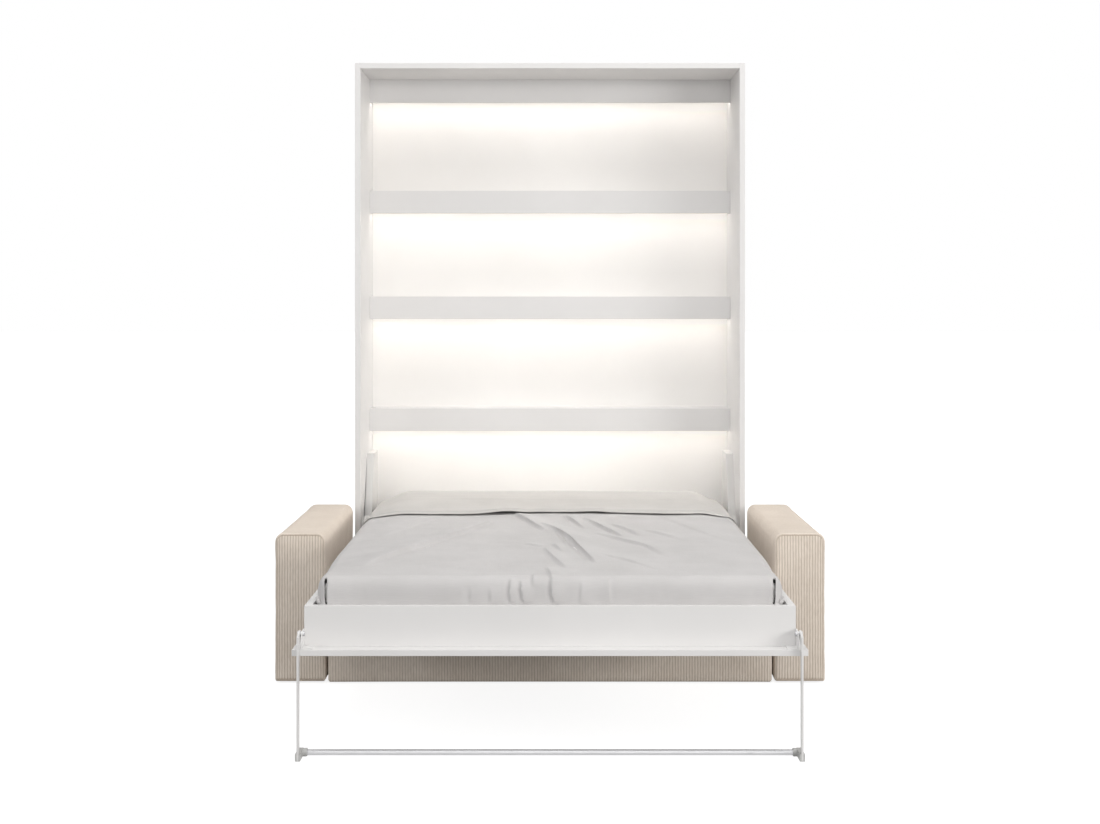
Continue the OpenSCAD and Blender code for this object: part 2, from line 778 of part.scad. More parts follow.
module leg_pins()
    color(steel) both_sides() {
        bar([ear_in - 5, leg_out + 3], leg_pivot_u, leg_pivot_z, leg_pin_r);
        bar([ear_in - 5, ear_in], leg_pivot_u, leg_pivot_z, leg_pin_r + 3);
        bar([ear_in + ear_t, leg_in - 0.3], leg_pivot_u, leg_pivot_z, leg_pin_r + 3.5);
        bar([leg_out + 0.3, leg_out + 3], leg_pivot_u, leg_pivot_z, leg_pin_r + 3.5);
    }

leg_hub_r = 10;
foot_sole = 3;
leg_x = [leg_in, leg_out];
foot_mid = (leg_in + leg_out) / 2;
foot_x_range = [foot_mid - foot_w / 2, foot_mid + foot_w / 2];

module leg_shape() {
    translate([leg_pivot_u, leg_pivot_z]) circle(leg_hub_r);
    polygon([[leg_pivot_u, leg_pivot_z + leg_hub_r], [leg_front, leg_pivot_z - 2],
        [leg_front, foot_sole], [leg_front - foot_l + 3, foot_sole],
        [leg_front - foot_l + 3, foot_h - 2], [leg_back, foot_h - 2],
        [leg_back, leg_pivot_z - 32], [leg_pivot_u - 2, leg_pivot_z - leg_hub_r]]);
}

module leg_bar(side)
    color(white) on(side) difference() {
        across(leg_x) leg_shape();
        bar([leg_in - 1, leg_out + 1], leg_pivot_u, leg_pivot_z, leg_pin_r + run_clear);
    }

collar_r = crossbar_r + 4.5;
collar_l = 12;

module leg_foot(side)
    color(light_grey) on(side) difference() {
        union() {
            block(foot_x_range, [leg_front - foot_l, leg_front], [0, foot_h]);
            intersection() {
                bar([foot_x_range[0] - collar_l, foot_x_range[0]], crossbar_u, crossbar_z,
                    collar_r);
                block([foot_x_range[0] - collar_l, foot_x_range[0]],
                    [crossbar_u - collar_r, leg_front], [0, foot_h + collar_r]);
            }
        }
        across([leg_in, leg_out]) leg_shape();
        bar([foot_x_range[0] - collar_l - 1, foot_x_range[0]], crossbar_u, crossbar_z,
            crossbar_r + 0.02);
    }

module leg_crossbar()
    color(white) bar([-foot_x_range[0], foot_x_range[0]], crossbar_u, crossbar_z, crossbar_r);

// The sofa
arm_bolt_sites = [[130, 110], [sofa_depth - 130, 110]];
arm_bolt_in = 38;

module arm_bolts(grow)
    both_sides() for (s = arm_bolt_sites)
        bar([base_x - arm_bolt_in - grow, arm_in + arm_bolt_in + grow], s[0], s[1],
            arm_bolt_r + grow);

// An upholstered block with round upper and lower edges
module padded_block(x, u, z, top_r, low_r)
    hull() {
        for (px = x, pu = u, low = [0, 1]) {
            r = low ? low_r : top_r;
            translate([px + (px == x[0] ? r : -r), front_y - pu + (pu == u[0] ? -r : r),
                low ? z[0] + r : z[1] - r]) sphere(r, $fn = 24);
        }
    }

module sofa_arm(side)
    color(cord_fabric) difference() {
        on(side) padded_block([arm_in, arm_out], [0, sofa_depth], [glide_h, arm_h], arm_r,
            lower_r);
        arm_bolts(slack);
    }

module sofa_base()
    color(cord_fabric) difference() {
        padded_block([-base_x, base_x], [0, sofa_depth], [glide_h, base_h], lower_r, lower_r);
        arm_bolts(slack);
        sofa_screws(slack);
    }

// A seat cushion: crowned above, drawn in along its sides, with a round edge all the way.
// Each ring is [inset, height as a share of the thickness]
cushion_rings = [[9, 0], [2, 0.07], [0, 0.22], [1, 0.5], [0, 0.76], [5, 0.88], [16, 0.935],
    [60, 0.97], [150, 0.99], [260, 1]];
ring_points = 40;
draw_in = 7;

function signed_pow(v, e) = sign(v) * pow(abs(v), e);
function cushion_point(half_w, half_d, inset, a) =
    let (cx = signed_pow(cos(a), 0.2), cy = signed_pow(sin(a), 0.2),
         pull = draw_in * (1 - pow(abs(sin(2 * a)), 0.5)))
    [(half_w - inset - pull * abs(cos(a))) * cx, (half_d - inset - pull * abs(sin(a))) * cy];

module seat_cushion(side) {
    half_w = (base_x - 1.5 * cushion_gap) / 2;
    half_d = (sofa_depth - 3 * cushion_gap) / 2;
    n = ring_points;
    count = len(cushion_rings);
    points = concat(
        [for (r = cushion_rings, k = [0:n - 1])
            concat(cushion_point(half_w, half_d, r[0], 360 * (k + 0.5) / n), cushion_t * r[1])],
        [[0, 0, 0], [0, 0, cushion_t]]);
    faces = concat(
        [for (j = [0:count - 2], k = [0:n - 1]) let (a = j * n + k, b = j * n + (k + 1) % n)
            each [[a, a + n, b + n], [a, b + n, b]]],
        [for (k = [0:n - 1]) [k, (k + 1) % n, count * n]],
        [for (k = [0:n - 1]) let (top = (count - 1) * n)
            [top + (k + 1) % n, top + k, count * n + 1]]);
    color(cord_fabric) translate([side * (half_w + cushion_gap / 2),
        front_y - half_d - cushion_gap, base_h]) polyhedron(points, faces);
}

module sofa_glides()
    color(dark_plastic) {
        both_sides() for (u = [80, sofa_depth - 80])
            translate([(arm_in + arm_out) / 2, front_y - u, 0]) cylinder(r = 15, h = glide_h);
        for (x = [-0.8, 0, 0.8] * base_x, u = [60, sofa_depth - 60])
            translate([x, front_y - u, 0]) cylinder(r = 15, h = glide_h);
    }

module sofa_bolts() color(steel) arm_bolts(0);

side_panel(left);  // side_panel_left
side_panel(right);  // side_panel_right
top_panel();
back_panel();
plinth_board();
rear_bottom_rail();
rail_front(0);  // rail_front_1
rail_front(1);  // rail_front_2
rail_front(2);  // rail_front_3
rail_front(3);  // rail_front_4
shelf(1);  // shelf_2
shelf(2);  // shelf_3
shelf(3);  // shelf_4
light_profiles();
light_diffusers();
light_driver();
wall_brackets();
cabinet_glides();
carcass_screws();
mechanism_plate(left);  // mechanism_plate_left
mechanism_plate(right);  // mechanism_plate_right
mechanism_casing(left);  // mechanism_casing_left
mechanism_casing(right);  // mechanism_casing_right
mechanism_screws();
facade_panel();
box_side(left);  // box_side_left
box_side(right);  // box_side_right
box_front();
box_head();
box_dowels();
slat_ledgers();
slats();
mattress();
duvet();
duvet_fold();
pivot_shaft(left);  // pivot_shaft_left
pivot_shaft(right);  // pivot_shaft_right
pivot_screws();
crank(left);  // crank_left
crank(right);  // crank_right
gas_tube(left);  // gas_tube_left
gas_tube(right);  // gas_tube_right
gas_rod(left);  // gas_rod_left
gas_rod(right);  // gas_rod_right
leg_bracket(left);  // leg_bracket_left
leg_bracket(right);  // leg_bracket_right
leg_pins();
leg_bar(left);  // leg_bar_left
leg_bar(right);  // leg_bar_right
leg_crossbar();
leg_foot(left);  // leg_foot_left
leg_foot(right);  // leg_foot_right
sofa_arm(left);  // sofa_arm_left
sofa_arm(right);  // sofa_arm_right
sofa_base();
seat_cushion(left);  // seat_cushion_left
seat_cushion(right);  // seat_cushion_right
sofa_glides();
sofa_bolts();
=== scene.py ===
# %% [markdown]
# # A wall bed over a low sofa
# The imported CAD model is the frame: it says where every piece is and which body it moves with. This
# lesson dresses it. Boards get eased edges, cloth gets folds and the sofa gets its ribs.
# All sizes are metres. X points right, Y to the wall and Z up.

# %% Load the frame
import json
import math

import bmesh
import bpy
import numpy as np
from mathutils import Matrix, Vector
from mathutils.kdtree import KDTree
from mathutils.noise import noise as field


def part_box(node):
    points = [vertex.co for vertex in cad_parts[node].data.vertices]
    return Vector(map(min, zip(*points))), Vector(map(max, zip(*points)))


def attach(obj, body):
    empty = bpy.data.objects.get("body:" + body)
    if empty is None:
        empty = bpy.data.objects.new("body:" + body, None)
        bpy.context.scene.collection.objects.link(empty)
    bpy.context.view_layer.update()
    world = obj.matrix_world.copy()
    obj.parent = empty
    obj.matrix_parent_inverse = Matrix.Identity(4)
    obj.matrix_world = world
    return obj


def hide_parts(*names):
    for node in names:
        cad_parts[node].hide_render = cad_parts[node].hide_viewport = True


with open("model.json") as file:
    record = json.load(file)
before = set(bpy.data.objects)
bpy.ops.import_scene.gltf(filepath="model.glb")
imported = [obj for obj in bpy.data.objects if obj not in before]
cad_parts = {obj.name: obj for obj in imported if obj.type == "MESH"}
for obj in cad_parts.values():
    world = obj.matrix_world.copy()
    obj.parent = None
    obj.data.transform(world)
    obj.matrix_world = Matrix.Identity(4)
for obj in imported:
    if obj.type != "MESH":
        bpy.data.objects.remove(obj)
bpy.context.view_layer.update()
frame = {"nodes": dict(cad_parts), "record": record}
body_of = {
    node: body
    for body, members in frame["record"]["behaviour"]["bodies"].items()
    for node in members
}
MM = 0.001

# %% [markdown]
# ## Camera
# A product shot of furniture is taken with the camera held level, so that upright edges stay
# parallel. The lens then sits high in its frame, which Blender calls shift. The distance comes from
# how much wider the foot of the bed looks than the cabinet behind it.

# %% Camera
PHOTO = (1100, 824)
FOCAL_PIXELS = 1577
EYE_HEIGHT = 1.360
EYE_FROM_CABINET = 6.387
HORIZON_ROW = 300
cabinet_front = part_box("side_panel_left")[0].y



def placed(name, data):
    """A new object that is part of the scene."""
    made = bpy.data.objects.new(name, data)
    bpy.context.scene.collection.objects.link(made)
    return made


camera_data = bpy.data.cameras.new("camera")
camera_data.sensor_width = 36
camera_data.lens = FOCAL_PIXELS / PHOTO[0] * camera_data.sensor_width
camera_data.shift_y = -(PHOTO[1] / 2 - HORIZON_ROW) / PHOTO[0]
camera_data.clip_end = 200
camera = placed("camera", camera_data)
camera.location = (0, cabinet_front - EYE_FROM_CABINET, EYE_HEIGHT)
camera.rotation_euler = (math.radians(90), 0, 0)
bpy.context.scene.camera = camera
bpy.context.scene.view_settings.view_transform = "Standard"
print("lens", round(camera_data.lens, 2), "mm, shift", round(camera_data.shift_y, 4))

# %% [markdown]
# ## Materials from nodes
# Each finish is a Principled shader with a little node tree in front of it. Object coordinates give
# every pattern its real size, since all pieces share one frame in metres. A few helpers keep the
# trees short: they add a node, make noise of a given grain, turn a pattern into two colours, into
# relief or into a range of numbers, and darken one colour by another.

# %% Node helpers
def add(tree, kind, values=None, **settings):
    """A new node with its settings, and its sockets filled with numbers or links."""
    made = tree.nodes.new(kind)
    for key, value in settings.items():
        setattr(made, key, value)
    for key, value in (values or {}).items():
        if isinstance(value, bpy.types.NodeSocket):
            tree.links.new(value, made.inputs[key])
        else:
            made.inputs[key].default_value = value
    return made


def new_finish(name, roughness, **constants):
    """A material whose shader has these constants, and its tree and place coordinates."""
    material = bpy.data.materials.new(name)
    material.use_nodes = True
    tree = material.node_tree
    shader = tree.nodes["Principled BSDF"]
    shader.inputs["Roughness"].default_value = roughness
    for key, value in constants.items():
        shader.inputs[key.replace("_", " ")].default_value = value
    place = add(tree, "ShaderNodeTexCoord").outputs["Object"]
    return material, tree, shader, place


def grain(tree, place, size, stretch=(1, 1, 1), detail=3.0):
    """Noise whose spots are about size wide, drawn out along the axes by stretch."""
    scaled = add(tree, "ShaderNodeMapping", {"Vector": place})
    scaled.inputs["Scale"].default_value = [1 / (size * s) for s in stretch]
    made = add(tree, "ShaderNodeTexNoise",
               {"Vector": scaled.outputs[0], "Scale": 1.0, "Detail": detail})
    return made.outputs["Fac"]


def two_tone(tree, factor, low, high, start=0.35, end=0.65):
    """Two colours, one where the pattern is low and one where it is high."""
    ramp = add(tree, "ShaderNodeValToRGB", {"Fac": factor})
    for stop, place, colour in zip(ramp.color_ramp.elements, (start, end), (low, high)):
        stop.position, stop.color = place, (*colour, 1)
    return ramp.outputs["Color"]


def relief(tree, shader, height, depth, strength):
    """The pattern as bumps of this depth."""
    bump = add(tree, "ShaderNodeBump", {"Height": height, "Distance": depth, "Strength": strength})
    tree.links.new(bump.outputs["Normal"], shader.inputs["Normal"])


def multiply(tree, one, other):
    """One colour darkened by another."""
    mixed = add(tree, "ShaderNodeMix", {0: 1.0, 6: one, 7: other}, data_type="RGBA",
                blend_type="MULTIPLY")
    return mixed.outputs[2]


def spread(tree, factor, low, high):
    """The pattern mapped to a range of numbers, such as roughness."""
    made = add(tree, "ShaderNodeMapRange", {"Value": factor, "To Min": low, "To Max": high})
    return made.outputs["Result"]


# %% [markdown]
# ## Boards and metal
# The cabinet and the bed box are matt white laminated board. Laminate isn't quite flat: it has a
# faint orange peel, and its gloss changes a little from place to place. The edge band is a strip
# of plastic whose corners are rounded by just under a millimetre, which catches the light.
# Powder coat has more gloss; it is white on the leg. The covers of the mechanism stand in the dark
# beside the bed, and their coat is a paler grey as painted shade for that dark.
# Zinc and the other metals are grey and brushed.

# %% Board, coat and metal finishes
def laminate():
    material, tree, shader, place = new_finish("white_laminate", 0.42)
    tone = two_tone(tree, grain(tree, place, 0.35), (0.760, 0.750, 0.743), (0.785, 0.775, 0.768))
    tree.links.new(tone, shader.inputs["Base Color"])
    gloss = grain(tree, place, 0.05)
    tree.links.new(spread(tree, gloss, 0.36, 0.50), shader.inputs["Roughness"])
    relief(tree, shader, grain(tree, place, 0.0025, detail=1.0), 0.00002, 0.5)
    return material


def powder_coat(name, low, high):
    material, tree, shader, place = new_finish(name, 0.35, Coat_Weight=0.15)
    tree.links.new(two_tone(tree, grain(tree, place, 0.09), low, high), shader.inputs["Base Color"])
    relief(tree, shader, grain(tree, place, 0.0018, detail=1.0), 0.00004, 0.5)
    return material


def metal(name, low, high, roughness, along=(1, 1, 1)):
    material, tree, shader, place = new_finish(name, roughness, Metallic=1.0)
    brushed = grain(tree, place, 0.0012, along)
    tree.links.new(two_tone(tree, brushed, low, high), shader.inputs["Base Color"])
    ends = spread(tree, brushed, roughness * 0.8, roughness * 1.25)
    tree.links.new(ends, shader.inputs["Roughness"])
    relief(tree, shader, brushed, 0.00001, 0.5)
    return material


white_laminate = laminate()
white_coat = powder_coat("white_powder_coat", (0.735, 0.728, 0.722), (0.765, 0.758, 0.752))
# Painted shade: the mechanism covers get a greyer copy of the white coat, for the dark beside the
# bed.
casing_coat_painted_shade = powder_coat("casing_powder_coat_painted_shade", (0.69, 0.68, 0.665), (0.72, 0.71, 0.695))
black_coat = powder_coat("black_tube_paint", (0.018, 0.018, 0.019), (0.028, 0.028, 0.029))
zinc = metal("zinc_plate", (0.50, 0.51, 0.53), (0.66, 0.67, 0.68), 0.34)
grey_rod = metal("satin_crossbar", (0.46, 0.46, 0.47), (0.55, 0.55, 0.56), 0.42, (30, 1, 1))
chrome = metal("hard_chrome", (0.76, 0.77, 0.78), (0.80, 0.81, 0.82), 0.10)
aluminium = metal("satin_aluminium", (0.62, 0.62, 0.63), (0.70, 0.70, 0.71), 0.38, (40, 1, 1))
print("board and metal finishes made")

# %% [markdown]
# Moulded plastic has a spark-eroded skin, a fine even grain. Birch plywood shows long pores along
# the slat. The light diffuser is opal plastic that glows by itself, warm white, so that the strips
# light the cabinet as the real ones do.

# %% Plastic, wood and light finishes
def moulded(name, low, high, roughness=0.5):
    material, tree, shader, place = new_finish(name, roughness)
    tree.links.new(two_tone(tree, grain(tree, place, 0.02), low, high), shader.inputs["Base Color"])
    relief(tree, shader, grain(tree, place, 0.0007, detail=1.0), 0.00003, 0.6)
    return material


def plywood():
    material, tree, shader, place = new_finish("birch_plywood", 0.55)
    pores = grain(tree, place, 0.003, (28, 1, 4), 5.0)
    clouds = two_tone(tree, grain(tree, place, 0.05, (6, 1, 1)), (0.62, 0.47, 0.30),
                      (0.70, 0.56, 0.38))
    fine = two_tone(tree, pores, (0.82, 0.78, 0.72), (1, 1, 1), 0.30, 0.52)
    tree.links.new(multiply(tree, clouds, fine), shader.inputs["Base Color"])
    relief(tree, shader, pores, 0.00006, 0.6)
    return material


def opal():
    material, tree, shader, place = new_finish("lit_opal", 0.4)
    glow = two_tone(tree, grain(tree, place, 0.03), (1.0, 0.945, 0.895), (1.0, 0.965, 0.925))
    tree.links.new(glow, shader.inputs["Base Color"])
    tree.links.new(glow, shader.inputs["Emission Color"])
    shader.inputs["Emission Strength"].default_value = LAMP_STRENGTH
    return material


LAMP_STRENGTH = 15.0
white_plastic = moulded("white_plastic", (0.74, 0.74, 0.73), (0.78, 0.78, 0.77))
dark_plastic = moulded("dark_plastic", (0.030, 0.030, 0.030), (0.045, 0.045, 0.045), 0.6)
foot_plastic = moulded("pale_foot_plastic", (0.50, 0.50, 0.49), (0.56, 0.56, 0.55))
birch = plywood()
lit_opal = opal()
print("plastic, wood and light finishes made")

# %% [markdown]
# ## Cloth finishes
# The duvet is percale, a plain weave of fine cotton. Seen from a few metres it is a soft matt
# surface with slubs, threads that are a little thicker for a few centimetres. Two noises drawn out
# across each other stand for warp and weft, and a little sheen lifts the edges of folds. Hardly any
# light gets inside the slits at its corners, so there the cloth's colour is darkened to nearly black
# as painted shade; each vertex remembers how deep in a slit it lies.
# Corduroy is pile: the crests of its ribs are brushed and light, and the valleys between them show
# the darker ground cloth. The ribs themselves are modelled, and each vertex remembers how high it
# lies on its rib, so that the colour follows the geometry.

# %% Cloth finishes
def percale(name, low, high, shade_mark=None):
    """Plain weave; shade_mark names the mark that says how deep in a slit the cloth lies, where its
    colour is darkened as painted shade.
    """
    material, tree, shader, place = new_finish(name, 0.88, Sheen_Weight=0.12, Sheen_Roughness=0.4)
    weft = grain(tree, place, THREAD, (40, 1, 1), 2.0)
    warp = grain(tree, place, THREAD, (1, 40, 1), 2.0)
    threads = add(tree, "ShaderNodeMath", {0: weft, 1: warp}, operation="ADD").outputs[0]
    slubs = add(tree, "ShaderNodeMath", {0: threads, 1: 0.5}, operation="MULTIPLY").outputs[0]
    clouds = two_tone(tree, grain(tree, place, 0.16), low, high)
    fine = two_tone(tree, slubs, (0.94, 0.94, 0.94), (1, 1, 1), 0.40, 0.60)
    colour = multiply(tree, clouds, fine)
    # Painted shade: the cloth's colour is darkened to nearly black where the mark says it lies deep
    # in a slit.
    if shade_mark:
        deep = add(tree, "ShaderNodeAttribute", attribute_name=shade_mark).outputs["Fac"]
        dark = two_tone(tree, deep, (1, 1, 1), (0.02, 0.02, 0.02), 0.05, 0.3)
        colour = multiply(tree, colour, dark)
    tree.links.new(colour, shader.inputs["Base Color"])
    relief(tree, shader, slubs, 0.00012, 0.6)
    return material


def corduroy():
    material, tree, shader, place = new_finish("beige_corduroy", 0.92, Sheen_Weight=0.35,
                                               Sheen_Roughness=0.45)
    shader.inputs["Sheen Tint"].default_value = (1.0, 0.90, 0.80, 1)
    height = add(tree, "ShaderNodeAttribute", attribute_name="rib").outputs["Fac"]
    ribs = two_tone(tree, height, (0.55, 0.465, 0.385), (0.86, 0.775, 0.685), 0.05, 0.80)
    brushed = two_tone(tree, grain(tree, place, 0.004, (1, 1, 6)), (0.90, 0.89, 0.88), (1, 1, 1))
    clouds = two_tone(tree, grain(tree, place, 0.12), (0.94, 0.93, 0.92), (1, 1, 1))
    colour = multiply(tree, multiply(tree, ribs, brushed), clouds)
    tree.links.new(colour, shader.inputs["Base Color"])
    relief(tree, shader, grain(tree, place, 0.0009, detail=4.0), 0.0004, 0.7)
    return material


THREAD = 0.0011
duvet_cotton = percale("grey_percale", (0.592, 0.578, 0.573), (0.630, 0.615, 0.611), shade_mark="slit")
lining_cotton = percale("cream_percale", (0.585, 0.568, 0.545), (0.620, 0.602, 0.578))
sheet_cotton = percale("sheet_cotton", (0.80, 0.79, 0.77), (0.84, 0.83, 0.81))
beige_corduroy = corduroy()
print("cloth finishes made")

# %% [markdown]
# ## Boards with eased edges
# A sharp edge is the first thing that gives a computer drawing away. Each board is a copy of the
# CAD solid with its flat faces joined again and its edges bevelled. A bevel modifier would do it
# too, but here it is applied at once, so that the mesh has the real shape. Smooth shading across
# the bevel would tilt the light on the whole board, so at every corner the largest face decides
# the normal, and only the small bevel shades from one face to the next.

# %% Ease the edges of boards and sheet metal
def give(piece, material, body, slot, *nodes):
    """Finish, body and CAD nodes of a new piece, in one go; the colour slot is not used."""
    piece.data.materials.clear()
    piece.data.materials.append(material)
    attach(piece, body)
    if nodes:
        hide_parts(*nodes)


def smooth_by_angle(mesh, degrees):
    mesh.polygons.foreach_set("use_smooth", [True] * len(mesh.polygons))
    mesh.set_sharp_from_angle(angle=math.radians(degrees))


def large_faces_lead(mesh):
    """Normals that follow the largest face at each corner, so that a board's face stays flat."""
    mesh.polygons.foreach_set("use_smooth", [True] * len(mesh.polygons))
    around = [[] for _ in mesh.vertices]
    for face in mesh.polygons:
        for corner in face.vertices:
            around[corner].append((face.normal.copy(), face.area))
    least = math.cos(LEAD_ANGLE)
    normals = []
    for face in mesh.polygons:
        for corner in face.vertices:
            total = sum((normal * area for normal, area in around[corner]
                         if normal.dot(face.normal) > least), Vector((0, 0, 0)))
            normals.append((total.normalized() if total.length > 0 else face.normal)[:])
    mesh.normals_split_custom_set(normals)


def eased(node, material, slot, width, steps=2):
    """A copy of a CAD node whose edges are rounded off by width."""
    shape = bmesh.new()
    shape.from_mesh(frame["nodes"][node].data)
    bmesh.ops.remove_doubles(shape, verts=shape.verts, dist=0.00001)
    bmesh.ops.dissolve_limit(shape, angle_limit=FLAT_ANGLE, verts=shape.verts, edges=shape.edges)
    sharp = [
        edge for edge in shape.edges
        if len(edge.link_faces) == 2 and edge.calc_face_angle(0) > SHARP_ANGLE
        and edge.calc_length() > 6 * width
    ]
    bmesh.ops.bevel(shape, geom=sharp, offset=width, segments=steps, affect="EDGES",
                    clamp_overlap=True, profile=0.5)
    mesh = bpy.data.meshes.new(node + "_eased")
    shape.to_mesh(mesh)
    shape.free()
    large_faces_lead(mesh)
    give(placed(mesh.name, mesh), material, body_of[node], slot, node)


FLAT_ANGLE, LEAD_ANGLE, SHARP_ANGLE = (math.radians(angle) for angle in (1, 46, 50))
BOARD_EDGE, SHEET_EDGE, FOOT_EDGE = 0.8 * MM, 0.9 * MM, 1.2 * MM
boards = """side_panel_left side_panel_right top_panel plinth_board rear_bottom_rail rail_front_1
    rail_front_2 rail_front_3 rail_front_4 shelf_2 shelf_3 shelf_4 facade_panel box_side_left
    box_side_right box_front box_head""".split()
for node in boards:
    eased(node, white_laminate, "white_board", BOARD_EDGE)
coats = {"mechanism_casing": casing_coat_painted_shade, "leg_bracket": white_coat, "leg_bar": white_coat}
sides = ("_left", "_right")
for start, finish in coats.items():
    for side in sides:
        eased(start + side, finish, "white_metal", SHEET_EDGE)
for side in sides:
    eased("leg_foot" + side, foot_plastic, "foot_plastic", FOOT_EDGE, 3)
print(len(boards), "boards and", 2 * len(coats) + 2, "metal and plastic parts eased")

# %% [markdown]
# ## Small hardware
# Screws, pins, springs and strips already have their true shape in the frame, so they only get
# their finish. Those of metal and dark plastic are also shaded smooth where they are round.

# %% Finishes for the hardware
HARDWARE_ANGLE = 40
hardware = {
    zinc: """wall_brackets carcass_screws mechanism_plate_left mechanism_plate_right
        mechanism_screws pivot_shaft_left pivot_shaft_right pivot_screws crank_left crank_right
        sofa_bolts""",
    grey_rod: "leg_crossbar leg_pins",
    chrome: "gas_rod_left gas_rod_right",
    black_coat: "gas_tube_left gas_tube_right",
    aluminium: "light_profiles",
    lit_opal: "light_diffusers",
    white_plastic: "light_driver",
    dark_plastic: "cabinet_glides sofa_glides",
    birch: "slats slat_ledgers box_dowels",
}
for material, nodes in hardware.items():
    for node in nodes.split():
        data = frame["nodes"][node].data
        data.materials.clear()
        data.materials.append(material)
        if material not in (birch, lit_opal, aluminium, white_plastic):
            smooth_by_angle(data, HARDWARE_ANGLE)
print("finishes given to", sum(len(nodes.split()) for nodes in hardware.values()), "nodes")

# %% [markdown]
# The back panel is thin lacquered fibreboard. The strips behind the rails wash it with warm light
# from above. They do light it, but light that bounces many times in the narrow slots takes very
# long to render. So the panel's front has a faint warm glow of its own, stronger just under each
# rail and fading over the first hand's breadth. A colour ramp over the height holds it, and the
# panel's back is left without it.

# %% Back panel
def washed_back():
    material, tree, shader, place = new_finish("washed_back_panel", 0.5)
    tone = two_tone(tree, grain(tree, place, 0.4), (0.80, 0.785, 0.765), (0.83, 0.815, 0.795))
    tree.links.new(tone, shader.inputs["Base Color"])
    height = add(tree, "ShaderNodeSeparateXYZ", {"Vector": place}).outputs["Z"]
    share = add(tree, "ShaderNodeMath", {0: height, 1: CABINET_HEIGHT}, operation="DIVIDE")
    glow = add(tree, "ShaderNodeValToRGB", {"Fac": share.outputs[0]})
    ramp = glow.color_ramp
    ramp.elements[0].color = ramp.elements[1].color = (FAINT, FAINT, FAINT, 1)
    for low in rail_feet:
        for drop, level in ((-0.03, 1.0), (0, 0.9), (0.012, 0.50), (0.04, 0.30), (0.12, 0.18),
                            (0.25, FAINT)):
            stop = ramp.elements.new((low - drop) / CABINET_HEIGHT)
            stop.color = (level, 0.95 * level, 0.86 * level, 1)
        ramp.elements.new((low + 0.05) / CABINET_HEIGHT).color = (FAINT, FAINT, FAINT, 1)
    depth = add(tree, "ShaderNodeSeparateXYZ", {"Vector": place}).outputs["Y"]
    front = add(tree, "ShaderNodeMath", {0: depth, 1: BACK_FRONT}, operation="LESS_THAN")
    glow = multiply(tree, glow.outputs["Color"], front.outputs[0])
    tree.links.new(glow, shader.inputs["Emission Color"])
    shader.inputs["Emission Strength"].default_value = BACK_GLOW
    relief(tree, shader, grain(tree, place, 0.004, detail=1.0), 0.00002, 0.4)
    return material


CABINET_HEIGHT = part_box("side_panel_left")[1].z
BACK_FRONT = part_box("back_panel")[0].y + 4 * MM
BACK_GLOW = 0.5
FAINT = 0.10
rail_feet = [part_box(f"rail_front_{number}")[0].z for number in (1, 2, 3, 4)]
eased("back_panel", washed_back(), "white_board", 0.5 * MM)
print("rails from", [round(low, 3) for low in rail_feet])

# %% [markdown]
# ## The sofa's ribbed cloth
# Wide corduroy has a rib about every 10 mm. A bump map would show them in the light but not along
# the outline, so the ribs are modelled: every skin is a grid with four columns of points to a rib,
# and far fewer points along the rib, where nothing changes.

# %% Rib profile
RIB_PITCH = 10 * MM
RIB_DEPTH = 1.3 * MM
PER_RIB = 4
RIB_STEP = RIB_PITCH / PER_RIB


def rib_height(along):
    """0 in the valley and 1 on the crest, round on top and narrow in the valley."""
    return np.abs(np.sin(np.asarray(along) / RIB_PITCH * math.pi)) ** 0.7


def quarter_ribs(half):
    """Rib heights at every quarter rib over a width of twice half, rounded to whole steps."""
    steps = 2 * round(half / RIB_STEP)
    return rib_height(np.linspace(0, steps / PER_RIB * RIB_PITCH, steps + 1))


# %% [markdown]
# Most skins here are tubes: a closed line is drawn once and repeated as rings along the piece, and
# faces join each ring to the next. So small helpers draw a closed line with rounded corners, find
# which way is outwards on it, take the cloth round an edge, and put the faces between the rings.

# %% Helpers for skins
def rounded_line(corners, steps, spacing):
    """A closed line through quarter circles (x, y, radius, turn), each point with its normal."""
    knots = []
    for x, y, radius, turn in corners:
        for k in range(steps + 1):
            angle = math.radians(turn + 90 / steps * k)
            knots.append((x + radius * math.cos(angle), y + radius * math.sin(angle),
                          math.cos(angle), math.sin(angle)))
    line = []
    for k, knot in enumerate(knots):
        after = knots[(k + 1) % len(knots)]
        pieces = max(1, round(math.hypot(after[0] - knot[0], after[1] - knot[1]) / spacing))
        line += [[p + (q - p) * t / pieces for p, q in zip(knot, after)] for t in range(pieces)]
    return np.array(line)


def box_corners(half_x, half_y, radius):
    """The corners of a rounded rectangle, anticlockwise, as rounded_line wants them."""
    return [(x * (half_x - radius), y * (half_y - radius), radius, turn)
            for x, y, turn in ((-1, -1, 180), (1, -1, 270), (1, 1, 0), (-1, 1, 90))]


def outwards(line):
    """Unit normals of a closed line that runs anticlockwise."""
    tangent = np.roll(line, -1, axis=0) - np.roll(line, 1, axis=0)
    tangent /= np.linalg.norm(tangent, axis=1, keepdims=True)
    return np.column_stack([tangent[:, 1], -tangent[:, 0]])


def over_edge(place, half, edge):
    """How far round the edge a place is, from 0 to 1, where it comes to lie and how far in."""
    a = max(0.0, 1 - (half - abs(place)) / edge)
    bent = place + math.copysign(edge * (math.sin(a * math.pi / 2) - a), place)
    return a, bent, edge * (1 - math.cos(a * math.pi / 2))


def tube(rings, open_start=False):
    """The points of all rings and the faces between them and over the ends."""
    ring, last = len(rings[0]), (len(rings) - 1) * len(rings[0])
    faces = [(a + k, a + (k + 1) % ring, a + ring + (k + 1) % ring, a + ring + k)
             for a in range(0, last, ring) for k in range(ring)]
    if not open_start:
        faces.append(tuple(range(ring)))
    faces.append(tuple(range(last + ring - 1, last - 1, -1)))
    return np.concatenate(rings), faces


